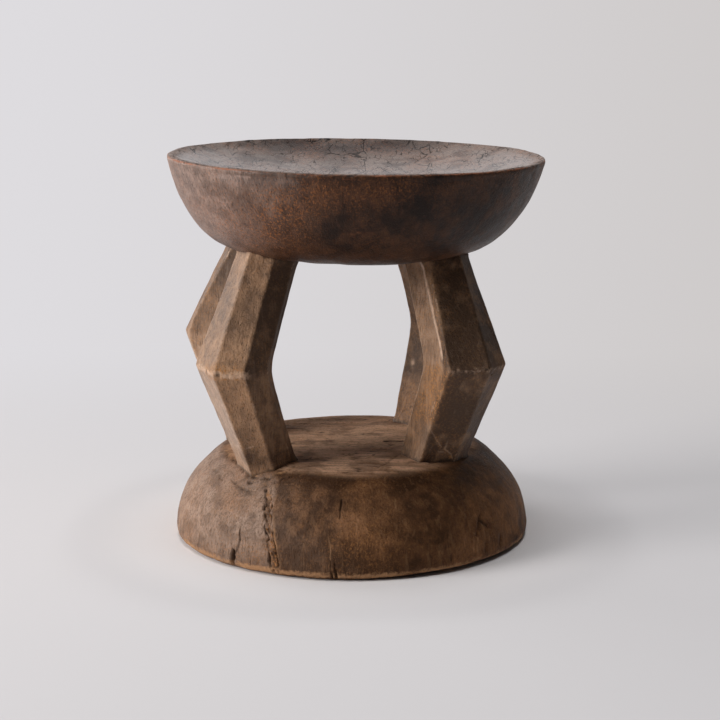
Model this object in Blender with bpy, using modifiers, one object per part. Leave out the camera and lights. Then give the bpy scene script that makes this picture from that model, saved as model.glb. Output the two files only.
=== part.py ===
"""A carved stool: a dished round seat and a domed base, joined by four kinked legs.

Sizes are in metres, +Z is up, and the front of the stool faces -Y. The origin is on
the floor, under the middle of the base. Every leg has a round stub tenon at each end,
which fits a blind mortise in the seat or the base.
"""
import math

import bmesh
import bpy
from mathutils import Matrix, Vector

# Driving sizes
HEIGHT = 0.3200
SEAT_RADIUS = 0.1562
SEAT_BODY = 0.0820
BASE_RADIUS = 0.1500
BASE_BODY = 0.0775
FIT_GAP = 0.0003

# Seat
DISH_DEPTH = 0.0200
RIM_WIDTH = 0.0050
SEAT_SHIFT = 0.0041
SEAT_LEAN = 0.0027
SEAT_TILT_DEG = 0.74
TURNED_STEPS = 96

# Outer side of the seat: radius as a share of SEAT_RADIUS, height above the
# underside as a share of SEAT_BODY
SEAT_SIDE_SHARES = (
    (0.990, 1.000), (0.997, 0.992), (1.000, 0.972), (0.993, 0.915), (0.968, 0.765),
    (0.932, 0.595), (0.888, 0.445), (0.842, 0.325), (0.795, 0.232), (0.745, 0.158),
    (0.680, 0.090), (0.600, 0.045), (0.480, 0.015), (0.300, 0.000),
)
# Dished top: radius as a share of the dish radius, drop below the rim as a share
# of DISH_DEPTH
DISH_SHARES = (
    (0.000, 1.000), (0.200, 0.985), (0.400, 0.920), (0.580, 0.795), (0.740, 0.600),
    (0.870, 0.370), (0.950, 0.180), (0.985, 0.065),
)

# Outer side of the base: radius as a share of BASE_RADIUS, height as a share of
# BASE_BODY
BASE_SIDE_SHARES = (
    (0.280, 1.000), (0.480, 0.994), (0.600, 0.982), (0.680, 0.960), (0.735, 0.930),
    (0.785, 0.865), (0.848, 0.750), (0.908, 0.620), (0.955, 0.465), (0.982, 0.310),
    (0.996, 0.160), (1.000, 0.090), (0.992, 0.035), (0.970, 0.000),
)

# Legs: how far the section's middle stands from the stool's axis, tied to the base
# and the seat, then section width across the leg and section depth along the radius
FOOT_RING = BASE_RADIUS * 0.6367
KNEE_RING = (BASE_RADIUS + SEAT_RADIUS) / 2 * 0.8100
TOP_RING = SEAT_RADIUS * 0.5762
FOOT_WIDTH = 0.0480
KNEE_WIDTH = 0.0620
TOP_WIDTH = 0.0500
FOOT_DEPTH = 0.0495
KNEE_DEPTH = 0.0570
TOP_DEPTH = 0.0510
SEAT_FLOOR = HEIGHT - SEAT_BODY
KNEE_HEIGHT = BASE_BODY + (SEAT_FLOOR - BASE_BODY) * 0.5016
INNER_BEND_SHARE = 0.12
LEG_ROWS = 8

# Tenons
TENON_RADIUS = 0.0120
TENON_LENGTH = 0.0220
TENON_SIDES = 32

# Drying splits in the lower edge of the base: azimuth in degrees, then width and
# height as shares of the split sizes
SPLIT_WIDTH = 0.0045
SPLIT_HEIGHT = 0.0160
SPLIT_DEPTH = 0.0080
SPLIT_SHARES = ((230.0, 1.00, 1.00), (264.9, 1.25, 0.80))

# Worn underside: the base lifts off the floor beyond this distance, on one side
WORN_AZIMUTH = -50.0
WORN_START = 0.1050
WORN_LIFT = 0.0040

# One overrun serves all cuts, and points this close on the axis become one
OVERRUN = 0.0100
MERGE_DISTANCE = 0.00001

# Each leg: azimuths of its section in degrees at the foot, knee and top, then the
# rings and widths there and the knee height as shares of the common sizes, and the
# eight corners as shares of half the depth (outwards) and half the width
# (counterclockwise)
LEGS = {
    "leg_front_left": {
        "azimuths": (221.2, 218.8, 218.1),
        "ring_shares": (1.000, 0.995, 1.000),
        "width_shares": (0.960, 1.050, 1.010),
        "knee_height_share": 0.996,
        "corner_shares": (
            (1.02, 0.45), (0.39, 1.02), (-0.45, 1.00), (-0.78, 0.80),
            (-1.00, -0.45), (-0.45, -1.00), (0.40, -1.00), (0.69, -0.72),
        ),
    },
    "leg_front_right": {
        "azimuths": (325.0, 321.0, 329.6),
        "ring_shares": (0.925, 1.003, 0.957),
        "width_shares": (1.160, 0.940, 0.876),
        "knee_height_share": 1.001,
        "corner_shares": (
            (0.64, 0.76), (0.40, 1.00), (-0.45, 1.00), (-1.00, 0.45),
            (-1.18, -0.44), (-0.33, -0.88), (-0.05, -0.98), (0.71, -0.06),
        ),
    },
    "leg_rear_left": {
        "azimuths": (152.4, 150.6, 151.4),
        "ring_shares": (1.009, 1.035, 1.023),
        "width_shares": (1.015, 1.030, 1.010),
        "knee_height_share": 1.040,
        "corner_shares": (
            (0.86, 0.45), (0.66, 1.04), (0.24, 1.39), (-0.70, 1.38),
            (-1.00, -0.40), (-0.45, -0.90), (0.45, -0.90), (0.86, -0.40),
        ),
    },
    "leg_rear_right": {
        "azimuths": (52.1, 49.8, 49.5),
        "ring_shares": (1.030, 1.004, 1.005),
        "width_shares": (1.000, 1.000, 1.000),
        "knee_height_share": 1.026,
        "corner_shares": (
            (0.90, 0.45), (0.45, 1.00), (-0.35, 0.88), (-0.77, 0.62),
            (-1.00, -0.45), (-0.45, -1.00), (0.45, -1.00), (0.90, -0.45),
        ),
    },
}
# The corners numbered 2 to 5 face the middle of the stool and bend smoothly
INNER_CORNERS = (2, 3, 4, 5)

# Colours, roughness: dark oiled wood, a little lighter on the worn legs
WOODS = {
    "seat": ((0.070, 0.040, 0.026), 0.48),
    "base": ((0.105, 0.062, 0.036), 0.62),
    "leg": ((0.098, 0.058, 0.035), 0.58),
}


def clear_scene():
    """Remove every object that the scene holds."""
    for item in list(bpy.data.objects):
        bpy.data.objects.remove(item, do_unlink=True)


def new_collection(name):
    """Make a collection under the scene's own."""
    group = bpy.data.collections.new(name)
    bpy.context.scene.collection.children.link(group)
    return group


def wood(name, kind):
    """Make a plain wood material of one of the named kinds."""
    colour, roughness = WOODS[kind]
    material = bpy.data.materials.new(name)
    material.use_nodes = True
    shader = material.node_tree.nodes["Principled BSDF"]
    shader.inputs["Base Color"].default_value = (*colour, 1.0)
    shader.inputs["Roughness"].default_value = roughness
    shader.inputs["Metallic"].default_value = 0.0
    material.diffuse_color = (*colour, 1.0)
    return material


def add_object(name, mesh, group, material=None):
    """Put a mesh in the scene as an object of a collection."""
    item = bpy.data.objects.new(name, mesh)
    group.objects.link(item)
    if material:
        mesh.materials.append(material)
    return item


def as_cutter(item):
    """Hide an object that only shapes others."""
    item.hide_render = True
    item.display_type = "WIRE"


def seat_profile():
    """Radius and height pairs of the seat, from its top middle out and down."""
    dish_radius = SEAT_RADIUS - RIM_WIDTH
    top = [(r * dish_radius, HEIGHT - d * DISH_DEPTH) for r, d in DISH_SHARES]
    side = [(r * SEAT_RADIUS, SEAT_FLOOR + h * SEAT_BODY) for r, h in SEAT_SIDE_SHARES]
    return top + side + [(0.0, side[-1][1])]


def base_profile():
    """Radius and height pairs of the base, from its top middle out and down."""
    side = [(r * BASE_RADIUS, h * BASE_BODY) for r, h in BASE_SIDE_SHARES]
    return [(0.0, side[0][1])] + side + [(0.0, 0.0)]


def grown(profile, gap):
    """Move a profile outwards by a gap, so that its solid cuts with clearance."""
    moved = []
    last = len(profile) - 1
    for index, (r, z) in enumerate(profile):
        before = Vector(profile[max(index - 1, 0)])
        after = Vector(profile[min(index + 1, last)])
        along = (after - before).normalized()
        shift = 0.0 if index in (0, last) else -along.y * gap
        moved.append((r + shift, z + along.x * gap))
    return moved


def turned(name, profile, group, material=None):
    """Turn a profile about the upright axis and keep the result as a mesh."""
    points = [(r, 0.0, z) for r, z in profile]
    edges = [(index, index + 1) for index in range(len(points) - 1)]
    outline = bpy.data.meshes.new(name + "_outline")
    outline.from_pydata(points, edges, [])
    item = add_object(name, outline, group)
    screw = item.modifiers.new("turn", "SCREW")
    screw.steps = TURNED_STEPS
    screw.render_steps = TURNED_STEPS
    screw.use_merge_vertices = True
    screw.merge_threshold = MERGE_DISTANCE
    screw.use_smooth_shade = True
    bpy.context.view_layer.update()
    shaped = item.evaluated_get(bpy.context.evaluated_depsgraph_get())
    mesh = bpy.data.meshes.new_from_object(shaped)
    item.modifiers.clear()
    item.data = mesh
    bpy.data.meshes.remove(outline)
    mesh.name = name
    if material:
        mesh.materials.append(material)
    return item


def place_seat(item):
    """Lean the seat, tilt it about its rim and set it over the legs."""
    rim = Matrix.Translation((0.0, 0.0, HEIGHT))
    lean = Matrix.Identity(4)
    lean[0][2] = SEAT_LEAN / SEAT_BODY
    tilt = Matrix.Rotation(math.radians(SEAT_TILT_DEG), 4, "Y")
    item.data.transform(rim @ tilt @ lean @ rim.inverted())
    item.location = (SEAT_SHIFT, 0.0, 0.0)


def bend(share, softness):
    """How far a corner is pushed to the knee, 1 there and 0 at the leg's end.

    The share is the distance from the knee along the half leg. A softness of zero
    gives a sharp kink, and a larger one rounds it.
    """
    full = math.hypot(1.0, softness) - softness
    return 1.0 - (math.hypot(share, softness) - softness) / full


def section(leg, level):
    """Corner places in plan at the foot (0), the knee (1) or the top (2)."""
    ring = (FOOT_RING, KNEE_RING, TOP_RING)[level] * leg["ring_shares"][level]
    width = (FOOT_WIDTH, KNEE_WIDTH, TOP_WIDTH)[level] * leg["width_shares"][level]
    depth = (FOOT_DEPTH, KNEE_DEPTH, TOP_DEPTH)[level]
    azimuth = math.radians(leg["azimuths"][level])
    out = Vector((math.cos(azimuth), math.sin(azimuth)))
    across = Vector((-out.y, out.x))
    return [
        out * (ring + u * depth / 2) + across * (v * width / 2)
        for u, v in leg["corner_shares"]
    ]


def leg_mesh(name, leg):
    """Loft the leg's unlike sections from below the base top to above the seat floor."""
    foot, knee, top = (section(leg, level) for level in range(3))
    knee_z = KNEE_HEIGHT * leg["knee_height_share"]
    low, high = BASE_BODY - TENON_LENGTH, SEAT_FLOOR + TENON_LENGTH
    heights = [low + (knee_z - low) * k / LEG_ROWS for k in range(LEG_ROWS + 1)]
    heights += [knee_z + (high - knee_z) * (k + 1) / LEG_ROWS for k in range(LEG_ROWS)]
    shape = bmesh.new()
    rings = []
    for z in heights:
        half = knee_z - BASE_BODY if z < knee_z else SEAT_FLOOR - knee_z
        share = abs(z - knee_z) / half
        along = (z - BASE_BODY) / (SEAT_FLOOR - BASE_BODY)
        at_knee = (knee_z - BASE_BODY) / (SEAT_FLOOR - BASE_BODY)
        ring = []
        for index in range(len(foot)):
            softness = INNER_BEND_SHARE if index in INNER_CORNERS else 0.0
            straight = foot[index].lerp(top[index], along)
            push = knee[index] - foot[index].lerp(top[index], at_knee)
            place = straight + push * bend(share, softness)
            ring.append(shape.verts.new((place.x, place.y, z)))
        rings.append(ring)
    count = len(foot)
    for lower, upper in zip(rings, rings[1:]):
        for index in range(count):
            after = (index + 1) % count
            shape.faces.new((lower[index], lower[after], upper[after], upper[index]))
    shape.faces.new(list(reversed(rings[0])))
    shape.faces.new(rings[-1])
    bmesh.ops.recalc_face_normals(shape, faces=shape.faces)
    mesh = bpy.data.meshes.new(name)
    shape.to_mesh(mesh)
    shape.free()
    return mesh


def peg(name, place, low, high, radius, group):
    """An upright round peg between two heights."""
    shape = bmesh.new()
    bmesh.ops.create_cone(
        shape, cap_ends=True, segments=TENON_SIDES, radius1=radius, radius2=radius,
        depth=high - low,
    )
    mesh = bpy.data.meshes.new(name)
    shape.to_mesh(mesh)
    shape.free()
    mesh.transform(Matrix.Translation((place.x, place.y, (low + high) / 2)))
    item = add_object(name, mesh, group)
    as_cutter(item)
    return item


def boolean(item, other, operation):
    """Join or cut an object with another by an exact Boolean."""
    cut = item.modifiers.new(other.name, "BOOLEAN")
    cut.operation = operation
    cut.solver = "EXACT"
    cut.object = other


def middle_of(corners):
    """The middle of a section in plan."""
    return sum(corners, Vector((0.0, 0.0))) / len(corners)


def add_leg(name, leg, seat, base, seat_form, base_form, group, cutters):
    """Build a leg, scribe its shoulders, add its tenons and cut their mortises."""
    item = add_object(name, leg_mesh(name, leg), group, wood(name + "_wood", "leg"))
    boolean(item, seat_form, "DIFFERENCE")
    boolean(item, base_form, "DIFFERENCE")
    ends = (
        ("foot", middle_of(section(leg, 0)), BASE_BODY - TENON_LENGTH, BASE_BODY + OVERRUN, base),
        ("top", middle_of(section(leg, 2)), SEAT_FLOOR - OVERRUN, SEAT_FLOOR + TENON_LENGTH, seat),
    )
    for end, place, low, high, holder in ends:
        tenon = peg(name + "_tenon_" + end, place, low, high, TENON_RADIUS, cutters)
        boolean(item, tenon, "UNION")
        mortise = peg(
            name + "_mortise_" + end, place, low - FIT_GAP, high + FIT_GAP,
            TENON_RADIUS + FIT_GAP, cutters,
        )
        boolean(holder, mortise, "DIFFERENCE")
    even = item.modifiers.new("even_triangles", "TRIANGULATE")
    even.quad_method = "BEAUTY"
    even.ngon_method = "BEAUTY"
    return item


def add_splits(base, cutters):
    """Cut the drying splits in the lower edge of the base as upright wedges."""
    for index, (azimuth, width, height) in enumerate(SPLIT_SHARES):
        name = "split_%d" % (index + 1)
        tall = SPLIT_HEIGHT * height
        flare = (tall + OVERRUN) / tall
        half_width = SPLIT_WIDTH * width / 2 * flare
        shape = bmesh.new()
        bmesh.ops.create_cone(
            shape, cap_ends=True, segments=4, radius1=half_width, radius2=0.0,
            depth=tall + OVERRUN,
        )
        mesh = bpy.data.meshes.new(name)
        shape.to_mesh(mesh)
        shape.free()
        mesh.transform(Matrix.Diagonal((SPLIT_DEPTH * flare / half_width, 1.0, 1.0, 1.0)))
        item = add_object(name, mesh, cutters)
        as_cutter(item)
        angle = math.radians(azimuth)
        item.location = (
            math.cos(angle) * BASE_RADIUS, math.sin(angle) * BASE_RADIUS,
            (tall - OVERRUN) / 2,
        )
        item.rotation_euler = (0.0, 0.0, angle)
        boolean(base, item, "DIFFERENCE")


def add_worn_edge(base, cutters):
    """Plane the underside of the base up towards its worn edge."""
    reach = BASE_RADIUS - WORN_START
    slope = math.atan2(WORN_LIFT, reach)
    shape = bmesh.new()
    bmesh.ops.create_cube(shape, size=1.0)
    mesh = bpy.data.meshes.new("worn_edge")
    shape.to_mesh(mesh)
    shape.free()
    length = reach + OVERRUN
    mesh.transform(Matrix.Diagonal((length, BASE_RADIUS * 2, OVERRUN, 1.0)))
    mesh.transform(Matrix.Translation((length / 2, 0.0, -OVERRUN / 2)))
    mesh.transform(Matrix.Rotation(-slope, 4, "Y"))
    mesh.transform(Matrix.Translation((WORN_START, 0.0, 0.0)))
    item = add_object("worn_edge", mesh, cutters)
    item.rotation_euler = (0.0, 0.0, math.radians(WORN_AZIMUTH))
    as_cutter(item)
    boolean(base, item, "DIFFERENCE")


def build():
    """Make the whole stool."""
    clear_scene()
    group = new_collection("tonga_stool")
    cutters = new_collection("cutters")
    seat = turned("seat", seat_profile(), group, wood("seat_wood", "seat"))
    base = turned("base", base_profile(), group, wood("base_wood", "base"))
    seat_form = turned("seat_form", grown(seat_profile(), FIT_GAP), cutters)
    base_form = turned("base_form", grown(base_profile(), FIT_GAP), cutters)
    place_seat(seat)
    place_seat(seat_form)
    as_cutter(seat_form)
    as_cutter(base_form)
    for name, leg in LEGS.items():
        add_leg(name, leg, seat, base, seat_form, base_form, group, cutters)
    add_splits(base, cutters)
    add_worn_edge(base, cutters)
    bpy.context.view_layer.update()


build()
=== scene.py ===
"""Looks of the carved stool: six wooden pieces, their finishes, the floor and the light.

Every piece is a stack of closed rings worked out with numpy: a turned outline for the
seat and the base, and a faceted section carried up each leg. Marks, worn places, dirt,
painted highlights and a painted sheen are numbers stored on the vertices, and the
finishes read them. Sizes are in metres, +Z is up and the front of the stool faces -Y.
"""
import logging
import math
from collections.abc import Sequence
from dataclasses import dataclass, field
from enum import Enum

import bpy
import numpy as np
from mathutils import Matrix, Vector


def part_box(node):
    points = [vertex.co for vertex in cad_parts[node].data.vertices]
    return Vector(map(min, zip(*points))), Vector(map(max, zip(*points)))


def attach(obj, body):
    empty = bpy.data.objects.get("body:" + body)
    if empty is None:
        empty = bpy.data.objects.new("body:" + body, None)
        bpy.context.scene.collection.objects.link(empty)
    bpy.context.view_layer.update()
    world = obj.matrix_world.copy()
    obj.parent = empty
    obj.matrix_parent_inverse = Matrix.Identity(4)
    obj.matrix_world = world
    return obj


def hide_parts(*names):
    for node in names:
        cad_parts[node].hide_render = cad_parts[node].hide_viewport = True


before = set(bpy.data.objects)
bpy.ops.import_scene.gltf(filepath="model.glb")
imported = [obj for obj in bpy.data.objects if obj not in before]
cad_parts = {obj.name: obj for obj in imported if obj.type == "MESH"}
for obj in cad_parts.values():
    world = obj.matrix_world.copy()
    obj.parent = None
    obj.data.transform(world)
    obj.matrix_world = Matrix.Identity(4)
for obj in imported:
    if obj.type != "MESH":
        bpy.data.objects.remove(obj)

Array = np.ndarray
Colour = tuple[float, float, float]
Place = tuple[float, float, float]
Span = tuple[float, float]
log = logging.getLogger("stool")

MM = 0.001
BODY = "root"
SEAT_TILT = math.radians(0.74)
FACETS = 8


# Numbers on grids


def smoothstep(low: float, high: float, value: Array) -> Array:
    """Ease from 0 at the low value to 1 at the high one, as 3t^2 - 2t^3."""
    t = np.clip((value - low) / (high - low), 0.0, 1.0)
    return t * t * (3.0 - 2.0 * t)


def bell(distance: Array, width: float | Array) -> Array:
    """Bell curve exp(-(distance / width)^2), 1 at zero distance."""
    return np.exp(-((distance / width) ** 2))


def lattice(points: Array, size: float | Place, seed: int) -> Array:
    """Smooth random values from -1 to 1 with bumps of a given size.

    The value at a point is the eased mean of random numbers at the eight corners of
    its cell. Each corner's number is a hash of the corner's place and the seed.

    Args:
        points: Places, with x, y and z on the last axis.
        size: Cell size in metres, one for all axes or one for each.
        seed: Picks the pattern.

    Returns:
        One value for each point.
    """
    scaled = points / np.asarray(size, float)
    cell = np.floor(scaled).astype(np.int64)
    part = scaled - cell
    ease = part * part * (3.0 - 2.0 * part)
    total = np.zeros(points.shape[:-1])
    for corner in range(8):
        bits = np.array([(corner >> k) & 1 for k in range(3)])
        key = cell + bits
        mixed = key[..., 0] * 73856093 ^ key[..., 1] * 19349663 ^ key[..., 2] * 83492791
        mixed = (mixed ^ (seed * 9176 + 77)) & 0x7FFFFFFF
        mixed = ((mixed ^ (mixed >> 13)) * 1274126177) & 0x7FFFFFFF
        mixed = ((mixed ^ (mixed >> 15)) * 668265263) & 0x7FFFFFFF
        value = (mixed >> 7 & 0xFFFF) / 32767.5 - 1.0
        total += value * np.prod(np.where(bits == 1, ease, 1.0 - ease), axis=-1)
    return total


def layered(points: Array, size: float | Place, seed: int, layers: int = 3) -> Array:
    """Sum of lattices, each half the size and half the height of the one before."""
    scale = np.asarray(size, float)
    return sum(
        lattice(points, scale / 2.0**k, seed + 31 * k) / 2.0**k for k in range(layers)
    )


def fading(gap: Array, reach: float) -> Array:
    """Fall off over a gap as exp(-gap / reach), from 1 where there is none."""
    return np.exp(-np.maximum(gap, 0.0) / reach)


@dataclass(frozen=True)
class Wave:
    """Smooth random ups and downs: how high, how long, and which pattern."""

    height: float
    size: float | Place
    seed: int
    layers: int = 1

    def over(self, points: Array) -> Array:
        """The height times a layered lattice of the wave's size."""
        return self.height * layered(points, self.size, self.seed, self.layers)


def gathered(count: int, gathers: Sequence[Place], closed: bool) -> Array:
    """Shares from 0 to 1 that stand closer together at each gather.

    The density is 1 plus a bell of its own gain and spread at each gather, and the
    shares are where its running total passes equal steps.

    Args:
        count: How many shares.
        gathers: Place, spread and gain of each gather.
        closed: Whether 1 is the same place as 0, and is then left out.

    Returns:
        The rising shares.
    """
    fine = np.linspace(0.0, 1.0, 20001)
    density = np.ones_like(fine)
    for place, spread, gain in gathers:
        away = np.abs(fine - place)
        away = np.minimum(away, 1.0 - away) if closed else away
        density += gain * bell(away, spread)
    total = np.concatenate([[0.0], np.cumsum((density[1:] + density[:-1]) / 2.0)])
    wanted = np.linspace(0.0, total[-1], count, endpoint=not closed)
    return np.interp(wanted, total, fine)


def eased(knots: Array, shares: Array) -> Array:
    """Points of a smooth curve through knots, at shares of its length.

    Between two knots the curve is the cubic that passes both, with the slopes taken
    across their neighbours.

    Args:
        knots: Points of the outline, one in each row.
        shares: Shares of the whole length, from 0 to 1.

    Returns:
        One point for each share.
    """
    run = np.concatenate([[0.0], np.cumsum(np.linalg.norm(np.diff(knots, axis=0), axis=1))])
    slope = np.gradient(knots, run, axis=0)
    at = shares * run[-1]
    k = np.clip(np.searchsorted(run, at, side="right") - 1, 0, len(run) - 2)
    step = (run[k + 1] - run[k])[:, None]
    t = (at - run[k])[:, None] / step
    near = (2 * t**3 - 3 * t**2 + 1) * knots[k] + (t**3 - 2 * t**2 + t) * step * slope[k]
    far = (3 * t**2 - 2 * t**3) * knots[k + 1] + (t**3 - t**2) * step * slope[k + 1]
    return near + far


def distance_to(points: Array, path: Array) -> tuple[Array, Array]:
    """Distance of each point to a path of straight pieces.

    Args:
        points: Places, with x, y and z on the last axis.
        path: Corners of the path, one in each row.

    Returns:
        The distance, and the share of the path's pieces passed at the nearest place.
    """
    nearest = np.full(points.shape[:-1], np.inf)
    share = np.zeros(points.shape[:-1])
    for k, (start, end) in enumerate(zip(path, path[1:])):
        way = end - start
        t = np.clip((points - start) @ way / max(way @ way, 1e-12), 0.0, 1.0)
        gap = np.linalg.norm(points - start - t[..., None] * way, axis=-1)
        closer = gap < nearest
        nearest = np.where(closer, gap, nearest)
        share = np.where(closer, (k + t) / (len(path) - 1), share)
    return nearest, share


def outward(rings: Array) -> Array:
    """Unit normals of a ring grid: the way down the rows crossed with the way round.

    Args:
        rings: Places of the grid, rows first.

    Returns:
        One normal for each place.
    """
    along = np.gradient(rings, axis=0)
    around = np.roll(rings, -1, axis=1) - np.roll(rings, 1, axis=1)
    normal = np.cross(along, around)
    return normal / np.maximum(np.linalg.norm(normal, axis=-1, keepdims=True), 1e-12)


# Marks


MARK_MARGIN = 0.010
WANDER_SIZE = 0.006
RAGGED_SIZE = 0.003
PITS = Wave(1.0, 0.0019, 14)
PIT_LEVELS = (-0.35, 0.45)
THIN_END = 0.35
PATCH_SWAY = Wave(4.0, 0.008, 52)
PATCH_EASE = 4.0


class MarkKind(Enum):
    """What a mark does to the wood."""

    CRACK = "crack"
    SCRATCH_AND_HIGHLIGHT = "scratch_and_highlight"
    # Marks of worn places and scratches also carry painted highlights, and dusty marks painted
    # sheen and highlights.
    WEAR_AND_HIGHLIGHT = "wear_and_highlight"
    GRIME = "grime"
    SHINE = "shine"
    RUST = "warmth"
    DUST_AND_SHEEN = "dust_and_sheen"


@dataclass(frozen=True)
class Mark:
    """A line or spot on the wood.

    Places, width, depth and wobble are millimetres. Ragged is how much the width
    varies, and pitted how far small pits break the mark up.
    """

    kind: MarkKind
    width: float
    depth: float
    path: tuple[Place, ...]
    strength: float = 1.0
    wobble: float = 0.5
    taper: bool = True
    ragged: float = 0.35
    pitted: float = 0.0

    def press(self, points: Array) -> tuple[Array, Array]:
        """Work out the mark on a surface.

        The strength falls off from the path as a bell, which narrows towards both ends
        of the path where the mark tapers. The path wanders by a lattice of the wobble's
        height, and a finer lattice breaks the mark up where it is pitted.

        Args:
            points: Places on the surface in metres.

        Returns:
            The mark's strength at each place, and how far it sinks in metres.
        """
        corners = np.array(self.path, float) * MM
        if len(corners) == 1:
            corners = np.repeat(corners, 2, axis=0)
        low, high = corners.min(0) - MARK_MARGIN, corners.max(0) + MARK_MARGIN
        close = np.all((points > low) & (points < high), axis=-1)
        amount = np.zeros(points.shape[:-1])
        spot = points[close]
        wander = np.stack([layered(spot, WANDER_SIZE, 5 + k) for k in range(3)], axis=-1)
        gap, share = distance_to(spot + wander * self.wobble * MM, corners)
        width = self.width * MM * (1.0 + self.ragged * layered(spot, RAGGED_SIZE, 8, 2))
        if self.taper and len(self.path) > 1:
            full = np.sqrt(np.clip(4.0 * share * (1.0 - share), 0.0, 1.0))
            width *= THIN_END + (1.0 - THIN_END) * full
        holes = smoothstep(*PIT_LEVELS, PITS.over(spot))
        amount[close] = bell(gap, width) * (1.0 - self.pitted * holes)
        return amount * self.strength, amount * self.depth * MM


@dataclass(frozen=True)
class Tint:
    """A soft patch in which the wood is lighter or darker, and more or less orange.

    Place and reach are millimetres.
    """

    place: Place
    reach: Place
    tone: float
    warmth: float = 0.0

    def spread(self, points: Array) -> Array:
        """The patch's strength: a bell over the distance in units of its reach."""
        away = (points - np.array(self.place) * MM) / (np.array(self.reach) * MM)
        return np.exp(-np.sum(away**2, axis=-1))


@dataclass(frozen=True)
class FacetPatch:
    """A stretch of a leg's facets with its own tone, warmth, worn and dusty paleness, and shine;
    some of the pale stretches are painted highlights.

    Places round the section are whole numbers at the corners, heights are millimetres,
    and soft is how far each side eases both ways, as a share of a facet.
    """

    first: float
    last: float
    low: float
    high: float
    tone: float = 0.0
    warmth: float = 0.0
    wear_and_highlight: float = 0.0
    dust_and_sheen: float = 0.0
    shine: float = 0.0
    soft: float = 0.08

    def spread(self, rings: Array, facet: Array) -> Array:
        """The patch's strength: eased over its edges, with ends that waver.

        Args:
            rings: The leg's grid in metres.
            facet: Places round the section from 0 to 8, one for each column.

        Returns:
            A value from 0 to 1 at each place of the grid.
        """
        middle, half = (self.first + self.last) / 2.0, (self.last - self.first) / 2.0
        away = np.abs((facet - middle + FACETS / 2) % FACETS - FACETS / 2) - half
        height = rings[..., 2] / MM + PATCH_SWAY.over(rings)
        along = smoothstep(self.low - PATCH_EASE, self.low + PATCH_EASE, height)
        along = along * smoothstep(self.high + PATCH_EASE, self.high - PATCH_EASE, height)
        return along * smoothstep(self.soft, -self.soft, away)


# Meshes


def put(name: str, data: bpy.types.ID) -> bpy.types.Object:
    """Add an object to the scene.

    Args:
        name: The object's name.
        data: Its mesh, camera or light.

    Returns:
        The object.
    """
    item = bpy.data.objects.new(name, data)
    bpy.context.scene.collection.objects.link(item)
    return item


@dataclass
class RingSurface:
    """A closed surface of rings, from its first pole to its last.

    Rows run from the first pole to the last, and columns run counterclockwise seen
    from the first pole, so that the faces point outwards.
    """

    name: str
    rings: Array
    start: Array
    end: Array
    masks: dict[str, Array] = field(default_factory=dict)

    def mesh(self) -> bpy.types.Mesh:
        """Turn the rings into a mesh, quads between rows and fans at both poles.

        Returns:
            The mesh, with each mask as an attribute of its vertices.
        """
        rows, columns, _ = self.rings.shape
        points = np.concatenate([self.rings.reshape(-1, 3), [self.start], [self.end]])
        index = np.arange(rows * columns).reshape(rows, columns)
        after = np.roll(index, -1, axis=1)
        quads = np.stack([index[:-1], index[1:], after[1:], after[:-1]], axis=-1)
        first = np.full(columns, rows * columns)
        fans = np.concatenate([
            np.stack([first, index[0], after[0]], axis=-1),
            np.stack([first + 1, after[-1], index[-1]], axis=-1),
        ])
        corners = np.concatenate([quads.reshape(-1), fans.reshape(-1)])
        sizes = np.concatenate([np.full(quads.size // 4, 4), np.full(len(fans), 3)])
        mesh = bpy.data.meshes.new(self.name)
        mesh.vertices.add(len(points))
        mesh.vertices.foreach_set("co", points.reshape(-1).astype(np.float32))
        mesh.loops.add(len(corners))
        mesh.loops.foreach_set("vertex_index", corners.astype(np.int32))
        mesh.polygons.add(len(sizes))
        starts = np.concatenate([[0], np.cumsum(sizes)[:-1]])
        mesh.polygons.foreach_set("loop_start", starts.astype(np.int32))
        mesh.polygons.foreach_set("use_smooth", np.ones(len(sizes), bool))
        mesh.update(calc_edges=True)
        for name, mask in self.masks.items():
            values = np.concatenate([mask.reshape(-1), [mask[0].mean(), mask[-1].mean()]])
            store = mesh.attributes.new(name, "FLOAT", "POINT")
            store.data.foreach_set("value", values.astype(np.float32))
        return mesh


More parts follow.
